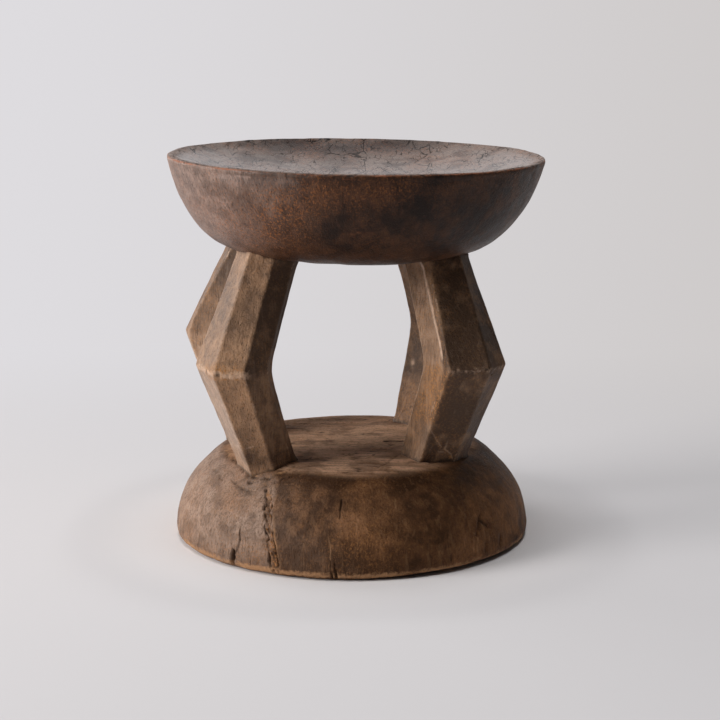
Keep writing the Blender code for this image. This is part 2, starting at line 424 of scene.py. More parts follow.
@dataclass
class WoodPiece:
    """What all six pieces of the stool share.

    Pairs called levels, shares, heights, radii or places are where an easing starts
    and where it is complete.
    """

    node: str
    slot: str
    marks: tuple[Mark, ...]
    tints: tuple[Tint, ...] = ()
    # The side facing this way, towards the key lamp, gets a painted sheen in a dusty colour.
    sheen_way: Place = (-0.95, -0.30, 0.0)
    sheen_start: float = 0.08
    sheen_full: float = 0.90
    sheen_sway: Wave = Wave(0.16, 0.030, 61, 4)

    def blank_masks(self, shape: tuple[int, int]) -> dict[str, Array]:
        """Empty masks of the grid's shape."""
        names = [kind.value for kind in MarkKind] + ["end_cut", "tone"]
        return {name: np.zeros(shape) for name in names}

    def sheen_and_fade(self, rings: Array) -> Array:
        """How pale the wood is painted, from 0 to 1: most where it faces -X, towards the key
        lamp, a painted sheen in a dusty colour.
        """
        facing = outward(rings) @ np.array(self.sheen_way) + self.sheen_sway.over(rings)
        return smoothstep(self.sheen_start, self.sheen_full, facing)

    def add_marks(self, rings: Array, masks: dict[str, Array]) -> Array:
        """Press the piece's marks and tints into its masks.

        Args:
            rings: The piece's grid.
            masks: Its masks, changed in place.

        Returns:
            How far the surface sinks under the marks, in metres.
        """
        sink = np.zeros(rings.shape[:-1])
        for mark in self.marks:
            amount, depth = mark.press(rings)
            key = mark.kind.value
            masks[key] = np.maximum(masks[key], amount)
            sink = np.maximum(sink, depth)
        for tint in self.tints:
            amount = tint.spread(rings)
            masks["tone"] += amount * tint.tone
            masks["warmth"] += amount * tint.warmth
        return sink

    def show(self, surface: RingSurface, material: bpy.types.Material) -> bpy.types.Object:
        """Put the surface in the scene in place of its CAD node.

        Args:
            surface: The finished rings.
            material: The finish it wears.

        Returns:
            The new object.
        """
        low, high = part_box(self.node)
        surface.rings = np.clip(surface.rings, np.array(low), np.array(high))
        mesh = surface.mesh()
        mesh.materials.append(material)
        item = put(self.node + "_carved", mesh)
        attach(item, BODY)
        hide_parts(self.node)
        log.info("%s: %d vertices", item.name, len(mesh.vertices))
        return item


# Seat and base


SEAT_KNOTS = (
    (0.0000, 0.3000), (0.0302, 0.3003), (0.0605, 0.3016), (0.0877, 0.3041),
    (0.1119, 0.3080), (0.1315, 0.3126), (0.1436, 0.3164), (0.1489, 0.3187),
    (0.1546, 0.3200), (0.1557, 0.3193), (0.1562, 0.3177), (0.1551, 0.3130),
    (0.1512, 0.3007), (0.1456, 0.2868), (0.1387, 0.2745), (0.1315, 0.2647),
    (0.1242, 0.2570), (0.1164, 0.2510), (0.1062, 0.2454), (0.0937, 0.2417),
    (0.0750, 0.2392), (0.0469, 0.2380), (0.0010, 0.2380),
)
BASE_KNOTS = (
    (0.0010, 0.0775), (0.0420, 0.0775), (0.0720, 0.0770), (0.0900, 0.0761),
    (0.1020, 0.0744), (0.1103, 0.0721), (0.1178, 0.0670), (0.1272, 0.0581),
    (0.1362, 0.0481), (0.1433, 0.0360), (0.1473, 0.0240), (0.1494, 0.0124),
    (0.1500, 0.0070), (0.1488, 0.0027), (0.1455, 0.0000), (0.0010, 0.0000),
)
SEAT_UNDERSIDE = np.array(SEAT_KNOTS[:10:-1])
BASE_UPPER_SIDE = np.array(BASE_KNOTS[:12])


@dataclass
class Seat(WoodPiece):
    """The bowl-shaped seat with its dished top.

    Shares run along the outline, from the middle of the dish to the middle below.
    """

    rows: int = 148
    columns: int = 620
    row_gathers: tuple[Place, ...] = (
        (0.442, 0.018, 4.0), (0.60, 0.15, 0.5), (0.90, 0.12, -0.75)
    )
    column_gathers: tuple[Place, ...] = ((0.72, 0.17, 1.4),)
    rim_height: float = 0.3200
    shift: float = 0.0041
    lean: float = 0.0329
    tilt: float = SEAT_TILT
    rim_share: float = 0.4440
    dish_share: float = 0.4405
    rim_reach: float = 0.0035
    gloss_shares: Span = (0.4300, 0.4000)
    wall_heights: Span = (0.2380, 0.2420)
    under_heights: Span = (0.2560, 0.2440)
    front_places: Span = (0.0, -0.12)
    near_places: Span = (0.120, 0.020)
    wave: Wave = Wave(0.00035, 0.030, 3, 3)
    ripple: Wave = Wave(0.00012, 0.008, 4)
    dish_wave: Wave = Wave(0.00035, 0.045, 9, 2)
    under_wave: Wave = Wave(0.00050, (0.014, 0.014, 0.010), 12)
    inset: float = 0.00045
    nicks: Wave = Wave(1.0, (0.0045, 0.0045, 0.02), 15)
    nick_levels: Span = (0.15, 0.75)
    nick_depth: float = 0.0005
    nick_dirt: float = 0.9
    under_darkening: float = 0.35
    rear_gloss: float = 0.25
    rim_wear: float = 0.42
    rim_wear_wave: Wave = Wave(0.40, 0.02, 17)
    front_wear: float = 0.26
    sheen_start: float = 0.36

    def placed(self, upright: Array) -> Array:
        """Lean, tilt and shift an upright seat.

        x gains the lean times the height over the rim, then x and z turn about the
        rim's middle, and x gains the shift.

        Args:
            upright: Places about the seat's own axis.

        Returns:
            Places in the stool's frame.
        """
        x, y, z = upright[..., 0], upright[..., 1], upright[..., 2] - self.rim_height
        x = x + self.lean * z
        turned_x = x * math.cos(self.tilt) + z * math.sin(self.tilt)
        turned_z = z * math.cos(self.tilt) - x * math.sin(self.tilt)
        return np.stack([turned_x + self.shift, y, turned_z + self.rim_height], axis=-1)

    def surface(self) -> RingSurface:
        """Turn the outline, then add waves, tool marks, nicks and wear.

        Returns:
            The seat's surface, with its masks.
        """
        shares = gathered(self.rows, self.row_gathers, False)
        outline = eased(np.array(SEAT_KNOTS), shares)
        turn = gathered(self.columns, self.column_gathers, True) * 2.0 * math.pi
        rings = turned(outline, turn)
        share, height = shares[:, None] + 0.0 * turn, rings[..., 2]
        masks = self.blank_masks(share.shape)
        top = smoothstep(self.rim_share, self.dish_share, share)
        side = (1.0 - top) * smoothstep(*self.wall_heights, height)
        under = smoothstep(*self.under_heights, height) * (1.0 - top)
        rim = bell(share - self.rim_share, self.rim_reach)
        nick = smoothstep(*self.nick_levels, self.nicks.over(rings)) * rim
        lift = self.wave.over(rings) + self.ripple.over(rings)
        lift += self.dish_wave.over(rings) * top
        lift += self.under_wave.over(rings) * under
        lift -= self.inset
        lift -= self.nick_depth * nick
        front = smoothstep(*self.front_places, rings[..., 1])
        worn = self.rim_wear + self.rim_wear_wave.over(rings) + self.front_wear * front
        masks["end_cut"] = top
        masks["wear_and_highlight"] = rim * worn
        masks["grime"] = self.nick_dirt * nick
        placed = self.placed(rings)
        sink = self.add_marks(placed, masks)
        placed = placed + outward(placed) * (lift - sink)[..., None]
        # The seat's wall is darker low down, towards its underside.
        masks["grime"] += self.under_darkening * under * side
        # Painted sheen in a dusty colour where the seat faces the key lamp.
        masks["dust_and_sheen"] = np.maximum(masks["dust_and_sheen"], self.sheen_and_fade(placed)) * (1.0 - top)
        near = smoothstep(*self.near_places, placed[..., 1])
        gloss = self.rear_gloss + (1.0 - self.rear_gloss) * near
        gloss = smoothstep(*self.gloss_shares, share) * gloss
        masks["shine"] = np.maximum(masks["shine"], gloss)
        ends = self.placed(np.array([[0.0, 0.0, outline[0, 1]], [0.0, 0.0, outline[-1, 1]]]))
        return RingSurface(self.node, placed, ends[0], ends[1], masks)


def turned(outline: Array, turn: Array) -> Array:
    """Carry an outline round the upright axis.

    A point is (r cos a, r sin a, z) for the outline's radius r and height z and each
    angle a.

    Args:
        outline: Radius and height in each row.
        turn: Angles in radians.

    Returns:
        A grid of places, rows along the outline and columns along the turn.
    """
    r, z = outline[:, :1], outline[:, 1:]
    return np.stack([r * np.cos(turn), r * np.sin(turn), z + 0.0 * turn], axis=-1)


@dataclass
class Base(WoodPiece):
    """The domed base with its splits, notches and worn front right edge."""

    rows: int = 150
    columns: int = 640
    row_gathers: tuple[Place, ...] = ((0.44, 0.10, 5.0), (0.20, 0.10, 1.5))
    column_gathers: tuple[Place, ...] = (
        (0.72, 0.16, 1.0), (0.680, 0.010, 5.0), (0.640, 0.006, 3.0), (0.735, 0.006, 3.0)
    )
    worn_turn: float = math.radians(-50.0)
    worn_start: float = 0.1050
    worn_slope: float = 0.0889
    top_radii: Span = (0.112, 0.098)
    top_heights: Span = (0.060, 0.070)
    foot_heights: Span = (0.0, 0.004)
    low_heights: Span = (0.045, 0.010)
    edge_height: float = 0.0040
    edge_reach: float = 0.0034
    edge_radii: Span = (0.14, 0.149)
    wave: Wave = Wave(0.00040, 0.034, 23, 3)
    ripple: Wave = Wave(0.00012, 0.009, 24)
    long_cuts: Wave = Wave(1.0, (0.042, 0.0085, 0.030), 27)
    short_cuts: Wave = Wave(0.5, (0.026, 0.0040, 0.020), 28)
    cut_depth: float = 0.00075
    cut_levels: Span = (-0.45, 0.45)
    cut_tones: Span = (0.08, 1.1)
    grain: Wave = Wave(0.00008, (0.0022, 0.05, 0.05), 29)
    grain_radius: float = 0.15
    inset: float = 0.00045
    chips: Wave = Wave(1.0, (0.009, 0.009, 0.006), 33)
    chip_levels: Span = (0.3, 0.9)
    chip_depth: float = 0.0010
    edge_wear: float = 0.78
    edge_wear_wave: Wave = Wave(0.45, 0.016, 31)
    split_place: float = -0.0625
    split_sway: Wave = Wave(0.0020, 0.010, 35)
    split_spread: float = 0.05
    sheen_cut_places: Span = (-0.0010, 0.0030)
    dark_places: Span = (0.0, 0.004)
    sheen_cut: float = 0.75
    right_dark: float = 0.22
    low_dark: float = 0.20
    low_sheen_cut: float = 0.30

    def surface(self) -> RingSurface:
        """Turn the outline, then add adze cuts, waves, chips, marks and wear.

        The worn side lifts off the floor: z is at least the worn slope times the
        distance past the worn start, measured along the worn turn.

        Returns:
            The base's surface, with its masks.
        """
        shares = gathered(self.rows, self.row_gathers, False)
        outline = eased(np.array(BASE_KNOTS), shares)
        turn = gathered(self.columns, self.column_gathers, True) * 2.0 * math.pi
        rings = turned(outline, turn)
        radius, height = outline[:, :1] + 0.0 * turn, rings[..., 2]
        masks = self.blank_masks(radius.shape)
        top = smoothstep(*self.top_radii, radius) * smoothstep(*self.top_heights, height)
        side = smoothstep(*self.foot_heights, height) * (1.0 - top)
        edge = bell(height - self.edge_height, self.edge_reach)
        edge = edge * smoothstep(*self.edge_radii, radius)
        cuts = self.long_cuts.over(rings) + self.short_cuts.over(rings)
        unrolled = np.stack([turn * self.grain_radius + 0.0 * radius, height, radius], -1)
        chips = smoothstep(*self.chip_levels, self.chips.over(rings))
        lift = self.wave.over(rings) + self.ripple.over(rings)
        lift += self.cut_depth * cuts * top
        lift += self.grain.over(unrolled) * side
        lift -= self.inset
        lift -= self.chip_depth * chips * edge
        masks["end_cut"] = top
        masks["wear_and_highlight"] = edge * (self.edge_wear + self.edge_wear_wave.over(rings))
        low_tone, rise = self.cut_tones
        masks["tone"] = (rise * smoothstep(*self.cut_levels, cuts) + low_tone) * top
        self.shade(rings, top, side, masks)
        sink = self.add_marks(rings, masks)
        rings = rings + outward(rings) * (lift - sink)[..., None]
        way = (math.cos(self.worn_turn), math.sin(self.worn_turn), 0.0)
        past = np.maximum(rings @ np.array(way) - self.worn_start, 0.0)
        rings[..., 2] = np.maximum(rings[..., 2], past * self.worn_slope)
        ends = np.array([[0.0, 0.0, outline[0, 1]], [0.0, 0.0, 0.0]])
        return RingSurface(self.node, rings, ends[0], ends[1], masks)

    def shade(
        self, rings: Array, top: Array, side: Array, masks: dict[str, Array]
    ) -> None:
        """Give the wood left of the long split its painted sheen in a dusty colour, and cut the
        sheen back and darken the wood to the right.

        Low down the wall the wood is darker and has less painted sheen on both sides.

        Args:
            rings: The base's grid.
            top: How far each place belongs to the top.
            side: How far it belongs to the wall.
            masks: The masks, changed in place.
        """
        split = rings[..., 0] - self.split_place - self.split_sway.over(rings)
        low = smoothstep(*self.low_heights, rings[..., 2]) * side
        kept = 1.0 - self.sheen_cut * smoothstep(*self.sheen_cut_places, split)
        right = smoothstep(*self.dark_places, split) * bell(split, self.split_spread)
        # Painted sheen in a dusty colour where the base faces the key lamp.
        masks["dust_and_sheen"] = self.sheen_and_fade(rings) * (1.0 - top) * kept
        masks["tone"] -= self.right_dark * right * side
        masks["tone"] -= self.low_dark * low
        masks["dust_and_sheen"] *= 1.0 - self.low_sheen_cut * low


# Legs


@dataclass(kw_only=True)
class Leg(WoodPiece):
    """A faceted leg that kinks outwards at its knee.

    The section's middle stands on a ring at an azimuth, and its eight corners are
    shares of half the depth outwards and of half the width counterclockwise. Sizes in
    threes are for the foot, the knee and the top, and flares for the foot and the top.
    """

    azimuths: Place
    rings: Place
    widths: Place
    depths: Place = (0.0495, 0.0570, 0.0510)
    knee: float
    corners: tuple[Span, ...]
    patches: tuple[FacetPatch, ...]
    knee_wear: float
    rows: int = 300
    columns: int = 312
    round_off: float = 0.0024
    base_top: float = 0.0775
    seat_floor: float = 0.2380
    foot_depth: float = 0.0130
    top_depth: float = 0.0160
    softness: tuple[float, ...] = (0.015, 0.015, 0.12, 0.12, 0.12, 0.12, 0.015, 0.015)
    sharp_limit: float = 0.05
    knee_gather: Span = (0.03, 1.6)
    end_gathers: tuple[Place, ...] = ((0.07, 0.05, 0.8), (0.93, 0.05, 0.8))
    corner_gather: Span = (0.012, 3.0)
    swell: Place = (0.0, 0.0, 0.0)
    seat_middle: float = 0.003
    wave: Wave = Wave(0.00030, 0.022, 41, 3)
    ripple: Wave = Wave(0.00010, 0.006, 42)
    fibre: Wave = Wave(0.00006, (0.0016, 0.0016, 0.030), 43)
    inset: float = 0.00035
    hollow: float = 0.00030
    hollow_reach: float = 0.006
    flares: Span = (0.0013, 0.0009)
    flare_reaches: Span = (0.0026, 0.0022)
    lumps: Wave = Wave(0.8, 0.0055, 47)
    ridge_reach: float = 0.0018
    ridge_wear: float = 0.22
    ridge_wave: Wave = Wave(0.45, 0.016, 45)
    knee_drop: float = 0.0012
    knee_reach: float = 0.0040
    knee_wave: Wave = Wave(0.45, 0.009, 46)
    sharp_levels: Span = (0.5, 0.95)
    nicks: Wave = Wave(1.0, (0.0017, 0.0017, 0.007), 44)
    nick_levels: Span = (0.05, 0.55)
    nick_depth: float = 0.0006
    sheen_share: float = 0.40
    foot_dirt: float = 0.7
    nick_dirt: float = 0.7
    top_dirt: float = 0.5
    dirt_reach: float = 0.004

    def section(self, level: int) -> Array:
        """Corners in plan at the foot (0), the knee (1) or the top (2).

        A corner is its share of half the depth outwards plus its share of half the
        width across, and corner 4 is moved towards -X by the leg's swell.

        Args:
            level: Which of the three heights.

        Returns:
            Eight places in plan.
        """
        angle = math.radians(self.azimuths[level])
        out = np.array([math.cos(angle), math.sin(angle)])
        across = np.array([-out[1], out[0]])
        u, v = np.array(self.corners).T
        depth, width = self.depths[level] / 2.0, self.widths[level] / 2.0
        plan = (self.rings[level] + u[:, None] * depth) * out + v[:, None] * width * across
        plan[4, 0] -= self.swell[level]
        return plan

    def corners_at(self, z: Array) -> Array:
        """Corner places in plan at given heights.

        Each corner runs straight from foot to top and is pushed outwards by a share
        that is 1 at the knee and 0 at both ends. The share is one less the eased
        distance sqrt(s^2 + k^2) - k, where k is the corner's softness.

        Args:
            z: Heights, one for each row.

        Returns:
            Places, with rows, corners and x, y on the axes.
        """
        foot, knee, top = (self.section(level) for level in range(3))
        span = self.seat_floor - self.base_top
        along = ((z - self.base_top) / span)[:, None, None]
        at_knee = (self.knee - self.base_top) / span
        half = np.where(z < self.knee, self.knee - self.base_top, self.seat_floor - self.knee)
        share = (np.abs(z - self.knee) / half)[:, None]
        soft = np.array(self.softness)[None, :]
        bend = 1.0 - (np.hypot(share, soft) - soft) / (np.hypot(1.0, soft) - soft)
        push = knee - (foot + (top - foot) * at_knee)
        return foot + (top - foot) * along + push * bend[..., None]

    def surface(self) -> RingSurface:
        """Round the facets' corners, flare both ends and add nicks and wear.

        Each flare is its height times exp(-clearance / reach), outwards in plan.

        Returns:
            The leg's surface, with its masks.
        """
        heights, facet = self.heights(), self.facets()
        plan, gap = rounded(self.corners_at(heights), facet, self.round_off)
        rings = np.concatenate([plan, (heights[:, None] + 0.0 * facet)[..., None]], axis=-1)
        masks = self.blank_masks(gap.shape)
        down, up = self.clearances(rings)
        sharp = np.interp(facet, range(FACETS + 1), self.outer_share())
        sharp = smoothstep(*self.sharp_levels, sharp)
        knee_band = bell(rings[..., 2] - self.knee + self.knee_drop, self.knee_reach) * sharp
        nicks = smoothstep(*self.nick_levels, self.nicks.over(rings)) * knee_band
        lift = self.wave.over(rings) + self.ripple.over(rings)
        lift -= self.inset + self.hollow * smoothstep(0.0, self.hollow_reach, gap)
        lift += self.fibre.over(rings)
        lift -= self.nick_depth * nicks
        lumps = 1.0 + self.lumps.over(rings)
        flare = self.flares[0] * lumps * fading(down, self.flare_reaches[0])
        flare += self.flares[1] * lumps * fading(up, self.flare_reaches[1])
        masks["wear_and_highlight"] = np.maximum(
            bell(gap, self.ridge_reach) * (self.ridge_wear + self.ridge_wave.over(rings)),
            knee_band * self.knee_wear * (1.0 + self.knee_wave.over(rings)),
        )
        # Painted sheen in a dusty colour where the leg faces the key lamp.
        masks["dust_and_sheen"] = self.sheen_share * self.sheen_and_fade(rings)
        self.add_patches(rings, facet, masks)
        masks["grime"] = self.foot_dirt * fading(down, self.dirt_reach) + self.nick_dirt * nicks
        masks["grime"] += self.top_dirt * fading(up, self.dirt_reach)
        sink = self.add_marks(rings, masks)
        normal = outward(rings)
        rings = rings + normal * (lift - sink)[..., None]
        rings = rings + normal * np.array([1.0, 1.0, 0.0]) * flare[..., None]
        ends = np.array([rings[0].mean(axis=0), rings[-1].mean(axis=0)])
        return RingSurface(self.node, rings, ends[0], ends[1], masks)

    def add_patches(self, rings: Array, facet: Array, masks: dict[str, Array]) -> None:
        """Lay the leg's patches over its masks.

        Args:
            rings: The leg's grid.
            facet: Places round the section, one for each column.
            masks: The masks, changed in place.
        """
        for patch in self.patches:
            amount = patch.spread(rings, facet)
            masks["tone"] += patch.tone * amount
            masks["warmth"] += patch.warmth * amount
            masks["wear_and_highlight"] = np.maximum(masks["wear_and_highlight"], patch.wear_and_highlight * amount)
            masks["dust_and_sheen"] = np.clip(masks["dust_and_sheen"] + patch.dust_and_sheen * amount, 0.0, 1.0)
            masks["shine"] = np.maximum(masks["shine"], patch.shine * amount)

    def heights(self) -> Array:
        """Row heights from the top down, closer at the knee and at both ends.

        Returns:
            The heights in metres.
        """
        low, high = self.base_top - self.foot_depth, self.seat_floor + self.top_depth
        knee = (high - self.knee) / (high - low)
        gathers = ((knee, *self.knee_gather), *self.end_gathers)
        return high - gathered(self.rows, gathers, False) * (high - low)

    def facets(self) -> Array:
        """Column places from 0 to 8 round the section, closer at its corners."""
        gathers = tuple((k / FACETS, *self.corner_gather) for k in range(FACETS))
        return gathered(self.columns, gathers, True) * FACETS

    def outer_share(self) -> list[float]:
        """How sharp the knee is at each corner, from 0 to 1, closed at the end."""
        sharp = [1.0 if soft < self.sharp_limit else 0.0 for soft in self.softness]
        return sharp + sharp[:1]

    def clearances(self, rings: Array) -> tuple[Array, Array]:
        """Height over the base and under the seat at each place of the grid.

        Both are read off the outlines at the place's distance from the axis. The
        seat's is lowered towards +X by its tilt.

        Args:
            rings: The leg's grid.

        Returns:
            The clearance down to the base, and the clearance up to the seat.
        """
        x, y, z = rings[..., 0], rings[..., 1], rings[..., 2]
        floor = np.interp(np.hypot(x, y), *BASE_UPPER_SIDE.T)
        ceiling = np.interp(np.hypot(x - self.seat_middle, y), *SEAT_UNDERSIDE.T)
        return z - floor, ceiling - x * math.tan(SEAT_TILT) - z


def rounded(corners: Array, facet: Array, radius: float) -> tuple[Array, Array]:
    """Section outlines with rounded corners.

    The outline is run through by length, and each place is the mean of the sharp
    outline over a short length to both sides. The mean comes from the running
    integral of the straight sides: I(s + r) - I(s - r), divided by 2r.

    Args:
        corners: Corner places, with rows, corners and x, y on the axes.
        facet: Column places, whole numbers at the corners.
        radius: Length to each side over which the mean is taken.

    Returns:
        The rounded places, and the distance along the outline to the nearest corner.
    """
    after = np.roll(corners, -1, axis=1)
    length = np.linalg.norm(after - corners, axis=-1)
    zero = np.zeros((len(corners), 1))
    start = np.concatenate([zero, np.cumsum(length, axis=1)], axis=1)
    area = (corners + after) / 2.0 * length[..., None]
    total = np.concatenate([np.zeros((len(corners), 1, 2)), np.cumsum(area, axis=1)], axis=1)
    k = np.floor(facet).astype(int)
    place = start[:, k] + (facet - k) * length[:, k]
    rim = start[:, -1:]
    rows = np.arange(len(corners))[:, None]

    def integral(at: Array) -> Array:
        """The running integral of the outline.

        Args:
            at: Lengths along the outline, past its end or before its start too.

        Returns:
            The integral of the place from the first corner to each length.
        """
        turns = np.floor(at / rim)
        inside = at - turns * rim
        side = np.clip(np.sum(inside[..., None] >= start[:, None, 1:-1], axis=-1), 0, FACETS - 1)
        gone = inside - start[rows, side]
        share = (gone / length[rows, side])[..., None]
        first, second = corners[rows, side], after[rows, side]
        middle = first + (second - first) * share / 2.0
        return total[rows, side] + middle * gone[..., None] + turns[..., None] * total[:, -1:]

    plan = (integral(place + radius) - integral(place - radius)) / (2.0 * radius)
    behind = place - start[:, k]
    ahead = length[:, k] - behind
    return plan, np.minimum(behind, ahead)


# Finishes


class Graph:
    """Short hand for adding and joining the nodes of one tree."""

    def __init__(self, tree: bpy.types.NodeTree) -> None:
        """Keep the tree that the nodes go in."""
        self.tree = tree

    def add(
        self, kind: str, settings: dict[str, object] | None = None, **sockets: object
    ) -> bpy.types.Node:
        """Add a node, set its properties and fill its sockets.

        Args:
            kind: The node's type name.
            settings: Properties of the node by name.
            **sockets: Values or outputs by socket name, with _ for a space.

        Returns:
            The node.
        """
        node = self.tree.nodes.new(kind)
        for key, value in (settings or {}).items():
            setattr(node, key, value)
        for key, value in sockets.items():
            self.fill(node.inputs[key.replace("_", " ")], value)
        return node

    def fill(self, socket: bpy.types.NodeSocket, value: object) -> None:
        """Join an output to a socket, or set the socket's own value.

        Args:
            socket: The input to fill.
            value: An output, a number, or a value of the socket's own kind.
        """
        if isinstance(value, bpy.types.NodeSocket):
            self.tree.links.new(value, socket)
        else:
            socket.default_value = value

    def use(
        self, group: bpy.types.NodeTree, **sockets: object
    ) -> Sequence[bpy.types.NodeSocket]:
        """Place a node group and fill its sockets; gives its outputs."""
        return self.add("ShaderNodeGroup", {"node_tree": group}, **sockets).outputs

    def math(self, operation: str, first: object, second: object) -> bpy.types.NodeSocket:
        """One step of arithmetic.

        Args:
            operation: What to do, by the node's own name for it.
            first: A number or an output.
            second: A number or an output.

        Returns:
            The result.
        """
        node = self.add("ShaderNodeMath", {"operation": operation})
        self.fill(node.inputs[0], first)
        self.fill(node.inputs[1], second)
        return node.outputs[0]

    def times(self, first: object, second: object) -> bpy.types.NodeSocket:
        """First times second."""
        return self.math("MULTIPLY", first, second)

    def plus(self, first: object, second: object) -> bpy.types.NodeSocket:
        """First plus second."""
        return self.math("ADD", first, second)

    def larger(self, first: object, second: object) -> bpy.types.NodeSocket:
        """The larger of two values."""
        return self.math("MAXIMUM", first, second)

    def clamp(self, value: object) -> bpy.types.NodeSocket:
        """Keep a value from 0 to 1."""
        return self.add("ShaderNodeClamp", Value=value).outputs[0]

    def span(self, value: object, low: object, high: object) -> bpy.types.NodeSocket:
        """Ease a value from 0 at the low end to 1 at the high end.

        Args:
            value: The value to ease.
            low: Where it gives 0.
            high: Where it gives 1.

        Returns:
            The eased value.
        """
        node = self.add("ShaderNodeMapRange", {"interpolation_type": "SMOOTHSTEP"})
        for socket, number in zip(node.inputs, (value, low, high)):
            self.fill(socket, number)
        return node.outputs[0]

    def choose(self, share: object, first: object, second: object) -> bpy.types.NodeSocket:
        """Mix two values: the first where the share is 0, the second where it is 1.

        Args:
            share: How much of the second, from 0 to 1.
            first: A number or an output.
            second: A number or an output.

        Returns:
            The mixed value.
        """
        node = self.add("ShaderNodeMix", {"data_type": "FLOAT"})
        for socket, value in zip(node.inputs[:1] + node.inputs[2:4], (share, first, second)):
            self.fill(socket, value)
        return node.outputs[0]

    def blend(self, share: object, first: object, second: object) -> bpy.types.NodeSocket:
        """Mix two colours: the first where the share is 0, the second where it is 1.

        Args:
            share: How much of the second, from 0 to 1.
            first: A colour or an output.
            second: A colour or an output.

        Returns:
            The mixed colour.
        """
        node = self.add("ShaderNodeMix", {"data_type": "RGBA"})
        self.fill(node.inputs[0], share)
        for socket, value in ((node.inputs[6], first), (node.inputs[7], second)):
            self.fill(socket, (*value, 1.0) if isinstance(value, tuple) else value)
        return node.outputs[2]

    def over(
        self, colour: object, paint: object, share: object, strength: float
    ) -> bpy.types.NodeSocket:
        """Lay a paint over a colour, by a share times a strength."""
        return self.blend(self.times(share, strength), colour, paint)

    def stretch(self, vector: bpy.types.NodeSocket, scale: Place) -> bpy.types.NodeSocket:
        """Scale a vector along its axes.

        Args:
            vector: The vector's output.
            scale: The factor on each axis.

        Returns:
            The scaled vector.
        """
        node = self.add("ShaderNodeVectorMath", {"operation": "MULTIPLY"})
        self.fill(node.inputs[0], vector)
        node.inputs[1].default_value = scale
        return node.outputs[0]

    def noise(
        self, vector: bpy.types.NodeSocket, scale: object, detail: float,
        roughness: float = 0.5, distortion: float = 0.0,
    ) -> bpy.types.NodeSocket:
        """Values of a noise texture.

        Args:
            vector: Where the noise is read.
            scale: Bumps in a metre, a number or an output.
            detail: How many finer layers it has.
            roughness: How strong the finer layers are.
            distortion: How much it swirls.

        Returns:
            The noise, about 0.5 on average.
        """
        node = self.add(
            "ShaderNodeTexNoise", Vector=vector, Scale=scale, Detail=detail,
            Roughness=roughness, Distortion=distortion,
        )
        return node.outputs[0]

    def mask(self, name: str) -> bpy.types.NodeSocket:
        """A mask stored on the mesh."""
        return self.add("ShaderNodeAttribute", {"attribute_name": name}).outputs["Fac"]


def effect(
    name: str, inputs: dict[str, float | None], outputs: tuple[str, ...]
) -> tuple[bpy.types.NodeTree, Graph, Sequence[bpy.types.NodeSocket], bpy.types.Node]:
    """Start a shader node group.

    Args:
        name: The group's name.
        inputs: Input names, with a number for a value or None for a vector.
        outputs: Names of its value outputs.

    Returns:
        The group, its graph, its input sockets and its output node.
    """
    tree = bpy.data.node_groups.new(name, "ShaderNodeTree")
    for key, value in inputs.items():
        kind = "NodeSocketVector" if value is None else "NodeSocketFloat"
        socket = tree.interface.new_socket(name=key, in_out="INPUT", socket_type=kind)
        if value is not None:
            socket.default_value = value
    for key in outputs:
        tree.interface.new_socket(name=key, in_out="OUTPUT", socket_type="NodeSocketFloat")
    graph = Graph(tree)
    entry = graph.add("NodeGroupInput")
    leave = graph.add("NodeGroupOutput")
    return tree, graph, entry.outputs, leave


